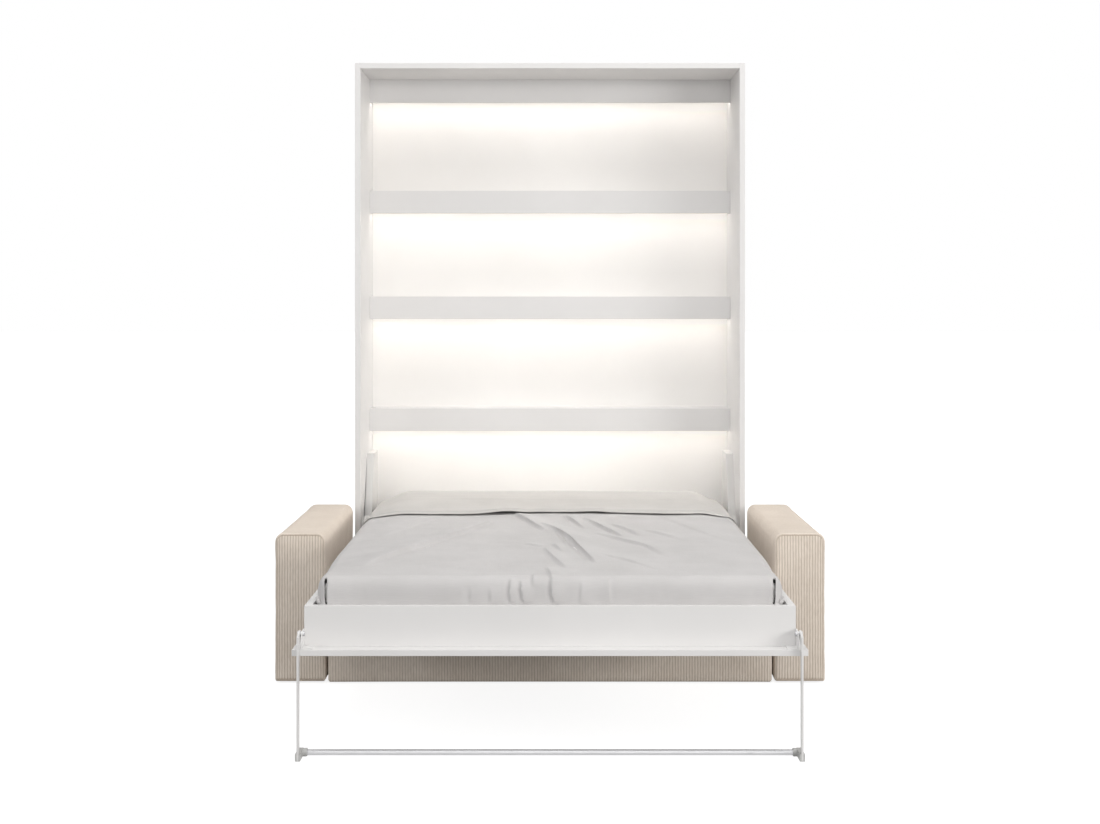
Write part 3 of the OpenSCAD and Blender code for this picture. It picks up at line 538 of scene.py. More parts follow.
def skin(name, points, faces, ribs=None):
    """A mesh object from points and faces, with each point's rib height kept on it."""
    mesh = bpy.data.meshes.new(name)
    mesh.from_pydata([tuple(p) for p in points], [], faces)
    mesh.update()
    if ribs is not None:
        mark(mesh, "rib", ribs)
    shape = bmesh.new()
    shape.from_mesh(mesh)
    bmesh.ops.recalc_face_normals(shape, faces=shape.faces)
    shape.to_mesh(mesh)
    shape.free()
    smooth_by_angle(mesh, SKIN_ANGLE)
    print(name, len(mesh.vertices), "points")
    return placed(name, mesh)


def mark(mesh, name, values):
    """Keeps one number on each point, for a material to read."""
    marks = mesh.attributes.new(name, "FLOAT", "POINT").data
    marks.foreach_set("value", np.asarray(values, np.float32))


def points_of(mesh):
    return np.array([vertex.co for vertex in mesh.vertices])


def move_points(mesh, points):
    mesh.vertices.foreach_set("co", points.ravel())
    mesh.update()


SKIN_ANGLE = 60

# %% [markdown]
# ## Softness from a cloth simulation
# Upholstery is never a perfect box. A coarse copy of each piece is remeshed, blown up a little as
# cloth with no gravity, and the way its points moved is handed to the fine skin. Points near each
# other share their movement, so the ribs stay whole while the faces swell and their edges pull in.

# %% Cloth simulation handed to a fine skin
def blown_up(piece, voxel):
    """Where the points of a coarse copy lie, before and after it is blown up as cloth."""
    copy = placed(piece.name + "_cloth", piece.data.copy())
    remesh = copy.modifiers.new("remesh", "REMESH")
    remesh.mode, remesh.voxel_size = "VOXEL", voxel
    depsgraph = bpy.context.evaluated_depsgraph_get()
    coarse = bpy.data.meshes.new_from_object(copy.evaluated_get(depsgraph))
    copy.modifiers.clear()
    copy.data = coarse
    cloth = copy.modifiers.new("cloth", "CLOTH")
    cloth.point_cache.frame_start, cloth.point_cache.frame_end = 1, CLOTH_FRAMES
    settings = cloth.settings
    for key, value in CLOTH.items():
        setattr(settings, key, value)
    settings.effector_weights.gravity = 0
    for number in range(1, CLOTH_FRAMES + 1):
        bpy.context.scene.frame_set(number)
    depsgraph = bpy.context.evaluated_depsgraph_get()
    settled = bpy.data.meshes.new_from_object(copy.evaluated_get(depsgraph))
    before, after = points_of(coarse), points_of(settled)
    bpy.data.objects.remove(copy)
    bpy.context.scene.frame_set(1)
    return before, after


def swell(piece, voxel, cap):
    """Moves the points of piece as the nearest points of its coarse copy moved."""
    before, after = blown_up(piece, voxel)
    moved = after - before
    far = np.linalg.norm(moved, axis=1, keepdims=True)
    moved *= np.minimum(1, cap / np.maximum(far, 1e-9))
    tree = KDTree(len(before))
    for index, point in enumerate(before):
        tree.insert(point, index)
    tree.balance()
    points = points_of(piece.data)
    for index, point in enumerate(points):
        near = tree.find_n(point, NEIGHBOURS)
        weights = np.array([1 / (distance + voxel / 2) ** 2 for _, _, distance in near])
        points[index] = point + weights @ moved[[i for _, i, _ in near]] / weights.sum()
    move_points(piece.data, points)
    return float(np.linalg.norm(moved, axis=1).mean())


CLOTH_FRAMES = 20
NEIGHBOURS = 6
CLOTH = {"quality": 4, "mass": 0.3, "tension_stiffness": 25, "compression_stiffness": 25,
         "shear_stiffness": 10, "bending_stiffness": 2.0, "use_pressure": True,
         "uniform_pressure_force": 4.0}

# %% [markdown]
# Each softened piece is then pressed flat where it would stand into a neighbour or the floor. It
# may stand proud of its box by a few millimetres where nothing is in its way.

# %% Soften, press and finish a piece
def upholster(piece, node, voxel, cap=5 * MM, proud=(0, 0, 0, 0)):
    """Proud says how far the piece may pass its box to the left, right, front and top."""
    low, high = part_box(node)
    left, right, front, top = proud
    mean = swell(piece, voxel, cap)
    move_points(piece.data, np.clip(points_of(piece.data), (low.x - left, low.y - front, low.z),
                                    (high.x + right, high.y, high.z + top)))
    smooth_by_angle(piece.data, SKIN_ANGLE)
    give(piece, beige_corduroy, body_of[node], "rib_cloth", node)
    print(piece.name, "swelled by", round(mean / MM, 1), "mm on average")


PROUD = 4 * MM
FREE = 100 * MM

# %% [markdown]
# ## Armrests
# An armrest is sewn like a drum. One strip of cloth runs up the outer side, over the top and down
# the inner side, with its ribs across the strip. The front and back are flat panels with upright
# ribs. A seam joins them just inside the edge and pulls the cloth in. So the strip is a tube, drawn
# in front view and repeated at every quarter rib along the depth, and each panel is a grid of
# upright columns that stop at the strip's rounded corners.

# %% The strip of an armrest
ARM_TOP_RADIUS, ARM_FOOT_RADIUS = 32 * MM, 9 * MM
ARM_DRAW = 2.5 * MM
SEAM_EDGE, SEAM_DEPTH = 7 * MM, 2 * MM
HEM_TUCK = 2.5 * MM


def strip_of_arm(half_x, half_y, height):
    """The strip of cloth: points, faces and rib heights."""
    foot, top = ARM_FOOT_RADIUS, ARM_TOP_RADIUS
    line = rounded_line([(half_x - foot, foot, foot, 270), (half_x - top, height - top, top, 0),
                         (top - half_x, height - top, top, 90), (foot - half_x, foot, foot, 180)],
                        steps=8, spacing=24 * MM)
    stripe = quarter_ribs(half_y)
    hem = (half_y - 2 * SEAM_DEPTH, SEAM_EDGE + HEM_TUCK, 0)
    places = [(-hem[0], *hem[1:])]
    for y, rib in zip(np.linspace(-half_y, half_y, len(stripe)), stripe):
        a, bent, inset = over_edge(y, half_y, SEAM_EDGE)
        places.append((bent, inset, rib * (1 - a ** 3)))
    places.append(hem)
    rings = []
    level = np.clip(line[:, 1] / height, 0, 1)
    for y, inset, rib in places:
        middle = (1 - abs(y / half_y) ** 6) * (1 - np.abs(2 * level - 1) ** 8)
        inward = inset + ARM_DRAW * (1 - middle) * np.abs(line[:, 2]) + RIB_DEPTH * (1 - rib)
        rings.append(np.column_stack([line[:, 0] - line[:, 2] * inward, np.full(len(line), y),
                                      line[:, 1] - line[:, 3] * inward]))
    return *tube(rings), np.repeat([rib for _, _, rib in places], len(line))


# %% The front and back panels
PANEL_INSET = SEAM_EDGE + 0.8 * MM
PANEL_SEAM = 6 * MM
PANEL_END = 30 * MM
PANEL_CROWN = 3 * MM


def panel_of_arm(half_x, half_y, height, crown, sign):
    """A front (sign -1) or back panel with upright ribs, swollen by crown in its middle."""
    half, low, high = half_x - PANEL_INSET, PANEL_INSET, height - PANEL_INSET
    stripe = quarter_ribs(half)
    ends = np.array([0, 1.5, 3, 5, 8, 12]) * MM
    points, ribs = [], []
    for x, rib in zip(np.linspace(-half, half, len(stripe)), stripe):
        cut = []
        for radius in (ARM_FOOT_RADIUS - PANEL_INSET, ARM_TOP_RADIUS - PANEL_INSET):
            past = max(0.0, abs(x) - (half - radius))
            cut.append(radius - math.sqrt(max(0.0, radius ** 2 - past ** 2)))
        bottom, top = low + cut[0], high - cut[1]
        column = np.concatenate([
            bottom + ends, np.linspace(bottom + PANEL_END, top - PANEL_END, 20), top - ends[::-1]])
        for z in column:
            near_x = min(1.0, (half - abs(x)) / PANEL_SEAM)
            near_z = min(1.0, min(z - bottom, top - z) / PANEL_SEAM)
            rise = math.sin(near_x * math.pi / 2) * math.sin(near_z * math.pi / 2)
            swollen = crown * (1 - (x / half) ** 4) * (1 - abs(2 * z / height - 1) ** 6)
            depth = half_y - SEAM_DEPTH + rise * (SEAM_DEPTH + swollen - RIB_DEPTH * (1 - rib))
            points.append((x, sign * depth, z))
            ribs.append(rib * rise)
    rows, columns = len(column), len(stripe) - 1
    faces = [
        (i * rows + j, (i + 1) * rows + j, (i + 1) * rows + j + 1, i * rows + j + 1)
        for i in range(columns) for j in range(rows - 1)
    ]
    faces.append(tuple(range(rows)) + tuple(i * rows + rows - 1 for i in range(1, columns + 1))
                 + tuple(columns * rows + j for j in range(rows - 2, -1, -1))
                 + tuple(i * rows for i in range(columns - 1, 0, -1)))
    return np.array(points), faces, np.array(ribs)


# %% Sew the armrests
ARM_VOXEL, BASE_VOXEL, CUSHION_VOXEL = 10 * MM, 16 * MM, 14 * MM


def armrest(name, node):
    low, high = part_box(node)
    half_x, half_y, height = (high.x - low.x) / 2, (high.y - low.y) / 2, high.z - low.z
    points, faces, ribs = strip_of_arm(half_x, half_y, height)
    for crown, sign in ((PANEL_CROWN, -1), (0, 1)):
        some, their_faces, heights = panel_of_arm(half_x, half_y, height, crown, sign)
        faces += [tuple(index + len(points) for index in face) for face in their_faces]
        points, ribs = np.concatenate([points, some]), np.concatenate([ribs, heights])
    middle = ((low.x + high.x) / 2, (low.y + high.y) / 2, low.z)
    return skin(name, points + middle, faces, ribs)


for side, outward in (("left", (PROUD, 0)), ("right", (0, PROUD))):
    node = "sofa_arm_" + side
    upholster(armrest("armrest_" + side, node), node, voxel=ARM_VOXEL,
              proud=(*outward, PROUD, FREE))

# %% [markdown]
# ## Base
# The base is a box with one strip of upright ribs round it. Its top is flat and plain, since the
# seat cushions hide it. The rings go from the underside up over a small rounding to the top edge.

# %% Base with a wall of ribs
BASE_CORNER, BASE_EDGE, BASE_DRAW = 9 * MM, 8 * MM, 2.5 * MM


def ribbed_base(name, node):
    low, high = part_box(node)
    centre = (low + high) / 2
    half_x, half_y = (high.x - low.x) / 2, (high.y - low.y) / 2
    corners = box_corners(half_x, half_y, BASE_CORNER)
    line = rounded_line(corners[1:] + corners[:1], steps=6, spacing=RIB_STEP)[:, :2]
    along = np.concatenate([[0], np.cumsum(np.linalg.norm(np.diff(line, axis=0), axis=1))])
    total = along[-1] + np.linalg.norm(line[0] - line[-1])
    rib = rib_height(along * round(total / RIB_PITCH) * RIB_PITCH / total)
    normal = outwards(line)
    height, edge = high.z - low.z, BASE_EDGE
    rows = [(0, edge, 0), (0.15 * edge, 0.55 * edge, 0.3), (0.5 * edge, 0.15 * edge, 0.8),
            (edge, 0, 1), *((z, 0, 1) for z in np.linspace(2.5 * edge, height - 2.5 * edge, 7)),
            (height - edge, 0, 1), (height - 0.5 * edge, 0.15 * edge, 0.8), (height, edge, 0)]
    middle = 1 - np.minimum(np.abs(line[:, 0] / half_x), np.abs(line[:, 1] / half_y)) ** 8
    rings, ribs = [], []
    for z, inset, share in rows:
        pull = BASE_DRAW * (1 - middle * (1 - (2 * z / height - 1) ** 4))
        at = line - normal * (inset + pull + RIB_DEPTH * share * (1 - rib))[:, None]
        rings.append(np.column_stack([at + (centre.x, centre.y), np.full(len(at), low.z + z)]))
        ribs.append(rib * share)
    return skin(name, *tube(rings), np.concatenate(ribs))


upholster(ribbed_base("sofa_plinth", "sofa_base"), "sofa_base", voxel=BASE_VOXEL,
          proud=(0, 0, PROUD, FREE))

# %% [markdown]
# ## Seat cushions
# The two seat cushions lie low enough for the bed to pass over them. Here the ribs run from the
# back over the top and down the front in one piece of cloth, so the skin is a belt: a line drawn
# in side view, repeated at every quarter rib across the width. The ends are closed with a flat
# side piece.

# %% Ribbed cushion
CUSHION_CORNER, CUSHION_EDGE, CUSHION_CROWN = 26 * MM, 14 * MM, 9 * MM


def ribbed_cushion(name, node):
    low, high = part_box(node)
    depth, height, width = high.y - low.y, high.z - low.z, high.x - low.x
    corners = box_corners(depth / 2, (height - CUSHION_CROWN) / 2, CUSHION_CORNER)
    line = rounded_line(corners, steps=6, spacing=22 * MM)[:, :2]
    normal = outwards(line)
    stripe = quarter_ribs(width / 2)
    centre = (low + high) / 2
    rings, heights = [], []
    for t, rib in zip(np.linspace(-1, 1, len(stripe)), stripe):
        a, x, inset = over_edge(t * width / 2, width / 2, CUSHION_EDGE)
        at = line - normal * (inset + RIB_DEPTH * (1 - rib) * (1 - a ** 4))
        rise = np.clip(at[:, 1] / (height / 2), 0, 1) * (1 - np.abs(2 * at[:, 0] / depth) ** 4)
        at[:, 1] += CUSHION_CROWN * (rise * (1 - t ** 4) - 0.5)
        rings.append(np.column_stack([np.full(len(at), centre.x + x), at + (centre.y, centre.z)]))
        heights.append(rib * (1 - a ** 4))
    return skin(name, *tube(rings), np.repeat(heights, len(line)))


for side in ("left", "right"):
    node = "seat_cushion_" + side
    upholster(ribbed_cushion("seat_pad_" + side, node), node, voxel=CUSHION_VOXEL,
              cap=4 * MM)

# %% [markdown]
# ## Mattress and fitted sheet
# The mattress carries the bedding but only its head end shows, where a pale fitted sheet covers it.
# A fitted sheet is pulled tight over the top and gathered under the rim, so its sides show short
# upright puckers. The pad is a slab whose top falls off gently towards its rim; the sheet is a thin
# skin a little outside it. Both are tubes again, with their rings lying flat.

# %% Rings of the mattress
bed_low, bed_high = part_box("mattress")
MATTRESS_EDGE = 28 * MM
MATTRESS_CORNER = 50 * MM
CROWN_REACH, CROWN_STEPS = 160 * MM, 8
TOP_RINGS = (230, 340, 450, 560, 690)
RING_SPACING = 1 / 90


def even_ring(half_x, half_y, corner):
    """Evenly spaced points round a rounded rectangle, each with its outward normal."""
    arc = math.pi / 2 * corner
    runs = [2 * (half_x - corner), 2 * (half_y - corner)] * 2
    total = sum(runs) + 4 * arc
    count = round(4 * (half_x + half_y) / RING_SPACING)
    ring = []
    for k in range(count):
        s = total * k / count
        x, y = corner - half_x, -half_y
        for run, (dx, dy) in zip(runs, ((1, 0), (0, 1), (-1, 0), (0, -1))):
            if s <= run:
                x, y, nx, ny = x + dx * s, y + dy * s, dy, -dx
                break
            s -= run
            middle_x, middle_y = x + dx * run - dy * corner, y + dy * run + dx * corner
            angle = math.atan2(-dx, dy) + min(s, arc) / corner
            nx, ny = math.cos(angle), math.sin(angle)
            x, y = middle_x + corner * nx, middle_y + corner * ny
            if s <= arc:
                break
            s -= arc
        ring.append((x, y, nx, ny))
    return ring


def slab(grow, low_z, pucker=0.0):
    """Rings of a rounded slab, from its underside's rim to the middle of its top."""
    centre = (bed_low + bed_high) / 2
    half_x, half_y = (bed_high.x - bed_low.x) / 2 + grow, (bed_high.y - bed_low.y) / 2 + grow
    top = bed_high.z + grow
    rows = [(0, z, 1) for z in np.linspace(low_z, top - MATTRESS_EDGE, 8)]
    for step in range(1, CROWN_STEPS + 1):
        angle = math.radians(90 / CROWN_STEPS * step)
        rows.append((CROWN_REACH * (1 - math.cos(angle)),
                     top - MATTRESS_EDGE * (1 - math.sin(angle)), 1 - step / CROWN_STEPS))
    rows += [(inset * MM, top, 0) for inset in TOP_RINGS]
    ring, rings = even_ring(half_x, half_y, MATTRESS_CORNER), []
    for inset, z, share in rows:
        points = []
        for k, (x, y, nx, ny) in enumerate(ring):
            fold = pucker * share * (math.sin(k * 1.9) + field(Vector((k * 0.11, z * 9, 3))))
            if inset <= MATTRESS_CORNER:
                x, y = x - nx * (inset - fold), y - ny * (inset - fold)
            else:
                x = min(half_x - inset, max(inset - half_x, x))
                y = min(half_y - inset, max(inset - half_y, y))
            points.append((centre.x + x, centre.y + y, z))
        rings.append(points)
    return rings


# %% Mattress under its fitted sheet
SHEET_LIFT = 0.8 * MM
SHEET_GATHER = 60 * MM
SHEET_PUCKER = 0.5 * MM

pad = skin("mattress_pad", *tube(slab(0, bed_low.z)))
give(pad, sheet_cotton, "bed", "ticking", "mattress")

fitted_sheet = skin("fitted_sheet", *tube(
    slab(SHEET_LIFT, bed_low.z + SHEET_GATHER, SHEET_PUCKER), open_start=True))
give(fitted_sheet, sheet_cotton, "bed", "ticking")
wide, long = bed_high.x - bed_low.x, bed_high.y - bed_low.y

# %% [markdown]
# ## Duvet
# A thin duvet is laid over the mattress and tucked behind the rim of the bed box on three sides.
# It could be dropped on the mattress as cloth, but a hand tucks it in more evenly than gravity
# would. So its shape is drawn: a side view and an end view, each flat, then round, then tucked in,
# and a point of the duvet takes about the larger fall of the two. Towards its long sides it sinks a
# little, as the mattress under it does. Sizes here are in millimetres, with x across the bed and u
# outwards from the cabinet's front.

# %% The duvet's two profiles
DUVET_TOP = bed_high.z / MM + 6
EDGE_DROP, TUCK_DROP, RIM_DROP, HEM_DROP = 56, 72, 80.5, 96
CORNER_X, CORNER_U = 30, 90
BAND_BACK = -240
DUVET_X, SIDE_RADIUS = 724.5, 40
FOOT_U, FOOT_RADIUS = 1652, 34
SHOULDER, SHOULDER_FROM, SHOULDER_WIDTH = 12, 560, 150
SHOULDER_END, SHOULDER_FADE = 1350, 250
front_mm = cabinet_front / MM


def ease(t):
    t = np.clip(t, 0, 1)
    return t * t * (3 - 2 * t)


def shoulders(x, fall):
    """The fall with the sinking towards the long sides added to it."""
    over = ease((np.abs(x) - SHOULDER_FROM) / SHOULDER_WIDTH)
    return fall + SHOULDER * over * (1 - ease(fall / 70))


def profile(flat, end, radius, turns, tuck):
    """Places, falls and distances along a cloth that lies flat, bends and is tucked in."""
    angles = np.radians(turns)
    place = np.concatenate([flat, end - radius + radius * np.sin(angles)])
    fall = np.concatenate([0 * flat, EDGE_DROP * (1 - np.cos(angles))])
    knots = np.array([(place[-1], fall[-1]), *tuck])
    t = np.linspace(0, len(knots) - 1, 13)[1:]
    around = np.concatenate([t - 0.15, t, t + 0.15])
    smooth = np.interp(around, range(len(knots)), knots[:, 0]).reshape(3, -1).mean(0)
    place = np.concatenate([place, smooth])
    fall = np.concatenate([fall, np.interp(t, range(len(knots)), knots[:, 1])])
    steps = np.hypot(np.diff(place), np.diff(fall))
    return place, fall, place[0] + np.concatenate([[0], np.cumsum(steps)])


COARSE = 1
flat = np.concatenate([np.arange(0, 330, 4.5 * COARSE),
                       np.linspace(330, DUVET_X - SIDE_RADIUS, 46 // COARSE)])
half_x, half_fall, _ = profile(
    flat, DUVET_X, SIDE_RADIUS,
    [3, 5, 6.5, 7.7, 8.7, 9.6, 10.5, 11.4, 12.4, 13.5, 15, 18, 23, 30, 38, 46, 54, 63, 72, 81, 90],
    [(723, TUCK_DROP), (713, RIM_DROP), (712.5, HEM_DROP)])
across = np.concatenate([-half_x[:0:-1], half_x])
across_fall = np.concatenate([half_fall[:0:-1], half_fall])
out, out_fall, out_run = profile(
    np.linspace(BAND_BACK, FOOT_U - FOOT_RADIUS, 232 // COARSE), FOOT_U, FOOT_RADIUS,
    np.linspace(0, 90, 15)[1:], [(1651, TUCK_DROP), (1647.2, RIM_DROP), (1646.7, HEM_DROP)])
print(len(across), "columns and", len(out), "rows")

# %% [markdown]
# The creases tell how the bed was made: a hand took hold near the turned-down edge and pulled the
# cloth towards the foot, so the folds fan out from there, and the tucked foot stands in short
# upright pleats. A fold of cloth isn't symmetric. It rises gently on one side and drops steeply,
# even leans over a little, on the other. Each one follows a line of points, given as (across,
# along the cloth), with its height, the width of its steep and of its gentle side, and the side
# that is steep: 1 or -1.

# %% The fan of folds and the pleats at the foot
folds = [
    ([(-150, 245), (-112, 330), (-70, 490), (-8, 720)], 16, 10, 46, 1),
    ([(-30, 540), (35, 715), (80, 925), (117, 1180), (150, 1390)], 18, 10, 52, 1),
    ([(44, 760), (66, 1040)], 9, 8, 26, 1),
    ([(58, 290), (85, 420), (128, 650)], 12, 8, 34, 1),
    ([(125, 380), (198, 637), (262, 850)], 12, 8, 34, 1),
    ([(225, 540), (280, 690), (325, 820)], 9, 8, 30, 1),
    ([(160, 740), (245, 905), (323, 1040), (380, 1260)], 8, 8, 36, 1),
    ([(340, 670), (400, 780), (460, 920)], 5, 8, 30, 1),
    ([(-20, 1090), (20, 1320), (55, 1490)], 9, 8, 34, 1),
    ([(-85, 1000), (-50, 1040), (-20, 1060)], 5, 8, 26, 1),
    ([(12, 1000), (44, 1170)], 7, 8, 26, 1),
    ([(160, 1230), (242, 1330), (350, 1530)], 4, 9, 34, 1),
    ([(-225, 470), (-300, 700), (-400, 950), (-500, 1190), (-600, 1450)], 16, 13, 60, -1),
    ([(-420, 330), (-520, 620), (-600, 820)], 3, 14, 50, -1),
    ([(430, 330), (520, 640), (610, 900)], 3, 14, 50, 1),
    ([(-8, 1470), (4, 1600), (10, 1655)], 6, 8, 30, 1),
    ([(-119, 1632), (-121, 1676), (-119, 1722)], 6, 7, 26, 1),
    ([(-88, 1640), (-84, 1680), (-77, 1722)], 7, 7, 24, 1),
    ([(-50, 1610), (-52, 1662)], 4, 6, 22, 1),
    ([(5, 1640), (8, 1680), (16, 1722)], 7.5, 7, 28, 1),
    ([(-180, 1665), (-181, 1722)], 3, 8, 26, 1),
    ([(-240, 1665), (-246, 1722)], 2.5, 8, 26, 1),
    ([(100, 1640), (94, 1722)], 3, 8, 26, 1),
    ([(180, 1630), (182, 1715)], 3, 8, 26, -1),
]
FOLD_LIMIT = 20
FOLD_DITCH, FOLD_LEAN = 0.28, 0.45


def fold_field(x, run):
    """Height of all folds and how far their crests lean sideways, at each point of the cloth."""
    height, lean_x, lean_u = np.zeros_like(x), np.zeros_like(x), np.zeros_like(x)
    for line, tall, steep, gentle, side in folds:
        knots = np.array(line, float)
        t = np.linspace(0, len(knots) - 1, 8 * (len(knots) - 1) + 1)
        path = np.column_stack([np.interp(t, range(len(knots)), knots[:, k]) for k in (0, 1)])
        path[1:-1] = (path[:-2] + path[1:-1] + path[2:]) / 3
        reach = 2.5 * gentle
        near = ((x > path[:, 0].min() - reach) & (x < path[:, 0].max() + reach)
                & (run > path[:, 1].min() - reach) & (run < path[:, 1].max() + reach))
        spots = np.column_stack([x[near], run[near]])
        start, ahead = path[:-1], np.diff(path, axis=0)
        length = np.linalg.norm(ahead, axis=1)
        offset = spots[:, None] - start
        along = np.clip((offset * ahead).sum(2) / length ** 2, 0, 1)
        gap = np.linalg.norm(offset - along[..., None] * ahead, axis=2)
        pick = gap.argmin(1)
        rows = np.arange(len(pick))
        cross = (ahead[pick, 0] * offset[rows, pick, 1] - ahead[pick, 1] * offset[rows, pick, 0])
        away = gap[rows, pick] * np.sign(cross) * side
        way = (pick + along[rows, pick]) / len(ahead)
        strength = np.sin(np.pi * np.clip(way, 0, 1)) ** 0.6
        body = np.where(away > 0, 1 - ease(away / steep), np.exp(-(away / gentle) ** 2))
        hollow = FOLD_DITCH * np.exp(-((away - 1.6 * steep) / steep) ** 2)
        ditch = np.where(away > 0, hollow, 0)
        height[near] += tall * strength * (body - ditch)
        across_fold = np.column_stack([-ahead[pick, 1], ahead[pick, 0]]) / length[pick, None] * side
        crest = FOLD_LEAN * tall * strength * body ** 3
        lean_x[near] += across_fold[:, 0] * crest
        lean_u[near] += across_fold[:, 1] * crest
    return FOLD_LIMIT * np.tanh(height / FOLD_LIMIT), lean_x, lean_u


def noise_field(x, u, size_x, size_u, seed):
    return np.array([
        field(Vector((a / size_x, b / size_u, seed))) for a, b in zip(x.ravel(), u.ravel())
    ]).reshape(x.shape)


def band_edge(x):
    """How far out the turned-down edge lies at x."""
    nodes = np.linspace(-720, 720, 49)
    line = np.interp(nodes, [-720, -420, -260, -130, 0, 140, 260, 420, 720],
                     [300, 304, 298, 268, 236, 240, 268, 288, 284])
    line = np.convolve(np.pad(line, 2, mode="edge"), np.ones(5) / 5, mode="valid")
    return np.interp(x, nodes, line)


# %% [markdown]
# Both profiles meet in one grid. The duvet gets a little narrower towards the foot, and its corners
# there are rounded in plan. Noise of three sizes makes the cloth uneven, and ridges of noise pucker
# it where it bends over the edge.

# %% The duvet's grid
FOOT_NARROWER = 16
X, U = np.meshgrid(across, out)
FALL_X, FALL_U = np.meshgrid(across_fall, out_fall)
FALL_X += (shoulders(X, FALL_X) - FALL_X) * (1 - ease((U - SHOULDER_END) / SHOULDER_FADE))
fall = np.minimum(HEM_DROP, (FALL_X ** 6 + FALL_U ** 6) ** (1 / 6))
narrow = 1 - FOOT_NARROWER / DUVET_X * ease((U - 1099) / 500)
wide = np.abs(X) * np.where(FALL_X >= RIM_DROP, 1, narrow)
half = DUVET_X * narrow
side_way = np.clip((wide - half + CORNER_X) / CORNER_X, 0, 1)
foot_way = np.clip((U - FOOT_U + CORNER_U) / CORNER_U, 0, 1)
turned_x = half - CORNER_X + CORNER_X * side_way * np.sqrt(1 - foot_way * foot_way / 2)
turned_u = FOOT_U - CORNER_U + CORNER_U * foot_way * np.sqrt(1 - side_way * side_way / 2)
bent_x = np.where(side_way > 0, turned_x, wide)
bent_u = np.where(foot_way > 0, turned_u, U)
folded, lean_x, lean_u = fold_field(X, np.broadcast_to(out_run[:, None], X.shape))
clear = ease((U - band_edge(X) + 10) / 50) * (1 - ease((FALL_X - 8) / 40))
rim = 1 - ease((fall - 70) / 14)
soft = (1.5 * noise_field(X, U, 170, 330, 1.0) + 0.8 * noise_field(X, U, 60, 130, 5.0)
        + 0.35 * noise_field(X, U, 26, 60, 9.0))
level = np.clip(1 - fall / 34, 0, 1)
ridged = 1 - np.abs(noise_field(X, U, 46, 900, 13.0)) * 2.2
ridged_side = 1 - np.abs(noise_field(X * 0.2, U, 300, 52, 17.0)) * 2.2
on_edge = np.exp(-((fall - 44) / 26) ** 2)
foot_share = np.clip(FALL_U / np.maximum(fall, 1), 0, 1)
side_share = np.clip(FALL_X / np.maximum(fall, 1), 0, 1)
pucker = on_edge * (1.2 * ridged * foot_share + 2.0 * ridged_side * side_share)
print("folds up to", round(float((folded * clear).max()), 1), "mm")

# %% [markdown]
# At the two front corners the cloth is folded like a parcel. The front panel ends in an upright
# edge with a dark slit beside it, and the side's cloth lies a few millimetres further back. How
# much a point lies in a slit is kept on it, and the material darkens the cloth there as painted
# shade, because the inside of a fold gets hardly any light.

# %% Parcel folds at the corners
SLIT_X, SLIT_LEAN = 693.5, 5.0
SLIT_HALF, SLIT_NARROWER = 5.2, 2.6
SLIT_DEPTH = 24
slit_at = SLIT_X - SLIT_LEAN * fall / RIM_DROP
slit_half = SLIT_HALF - SLIT_NARROWER * fall / RIM_DROP
on_front = foot_share ** 3 * ease((fall - 2) / 8) * (1 - ease((fall - 80) / 5))
beyond = np.abs(X) - slit_at
in_slit = on_front * np.exp(-(beyond / slit_half) ** 4)
parcel = SLIT_DEPTH * in_slit + on_front * (3.2 * ease(beyond / 2.5)
                                            - 1.2 * np.exp(-((beyond + 9) / 7) ** 2))
print("slits", round(float(parcel.max()), 1), "mm deep")

# %% [markdown]
# The outer face and a lining a few millimetres under it are stitched together along the hem, so
# that the duvet is a closed, padded piece with a real thickness.

# %% Stitch two grids into a closed cloth
def grid_normals(points):
    down, right = np.gradient(points, axis=0), np.gradient(points, axis=1)
    normal = np.cross(right, down)
    normal /= np.maximum(np.linalg.norm(normal, axis=2, keepdims=True), 1e-9)
    return normal * np.sign(normal[len(normal) // 3, normal.shape[1] // 2, 2])


def closed_cloth(name, outer, inner):
    rows, cols = outer.shape[:2]
    n = rows * cols
    faces = []
    for j in range(rows - 1):
        for i in range(cols - 1):
            a, b, c, d = j * cols + i, j * cols + i + 1, (j + 1) * cols + i + 1, (j + 1) * cols + i
            faces += [(a, b, c, d), (a + n, d + n, c + n, b + n)]
    rim = [*range(cols), *(j * cols + cols - 1 for j in range(1, rows)),
           *((rows - 1) * cols + i for i in range(cols - 2, -1, -1)),
           *(j * cols for j in range(rows - 2, 0, -1))]
    for k, first in enumerate(rim):
        second = rim[(k + 1) % len(rim)]
        faces.append((first, second, second + n, first + n))
    return skin(name, np.concatenate([outer.reshape(-1, 3), inner.reshape(-1, 3)]) * MM, faces)


THICKNESS, HEM_THICKNESS = 5.0, 2.0
outer = np.stack([np.sign(X) * bent_x, front_mm - bent_u,
                  DUVET_TOP - fall + 1.3 * soft * level], axis=2)
lean = grid_normals(outer)
thick = THICKNESS - (THICKNESS - HEM_THICKNESS) * ease((fall - 60) / 30)
inner = outer - lean * (thick + 1.2 * on_edge + parcel)[..., None]
outer += lean * (pucker - 2.4 * on_edge - parcel)[..., None]
outer += lean * ((folded - 3.0 * foot_share) * clear * rim)[..., None]
outer[..., 0] += lean_x * clear * rim
outer[..., 1] -= lean_u * clear * rim * level
duvet = closed_cloth("duvet_cover", outer, inner)
# Painted shade: the slit mark turns the cloth nearly black inside the slits.
mark(duvet.data, "slit", np.tile(in_slit.ravel(), 2))
give(duvet, duvet_cotton, "bed", "duvet_cloth", "duvet")

# %% [markdown]
# ## Turned-down band
# At the head the duvet is folded back on itself, and its paler lining shows as a band across the
# bed. The band is the same cloth again, so it is full towards its fold at the back and thins out
# towards its free edge. That edge is rolled over and stands off the duvet by a few millimetres,
# more where the folds start, which draws a dark line below it.

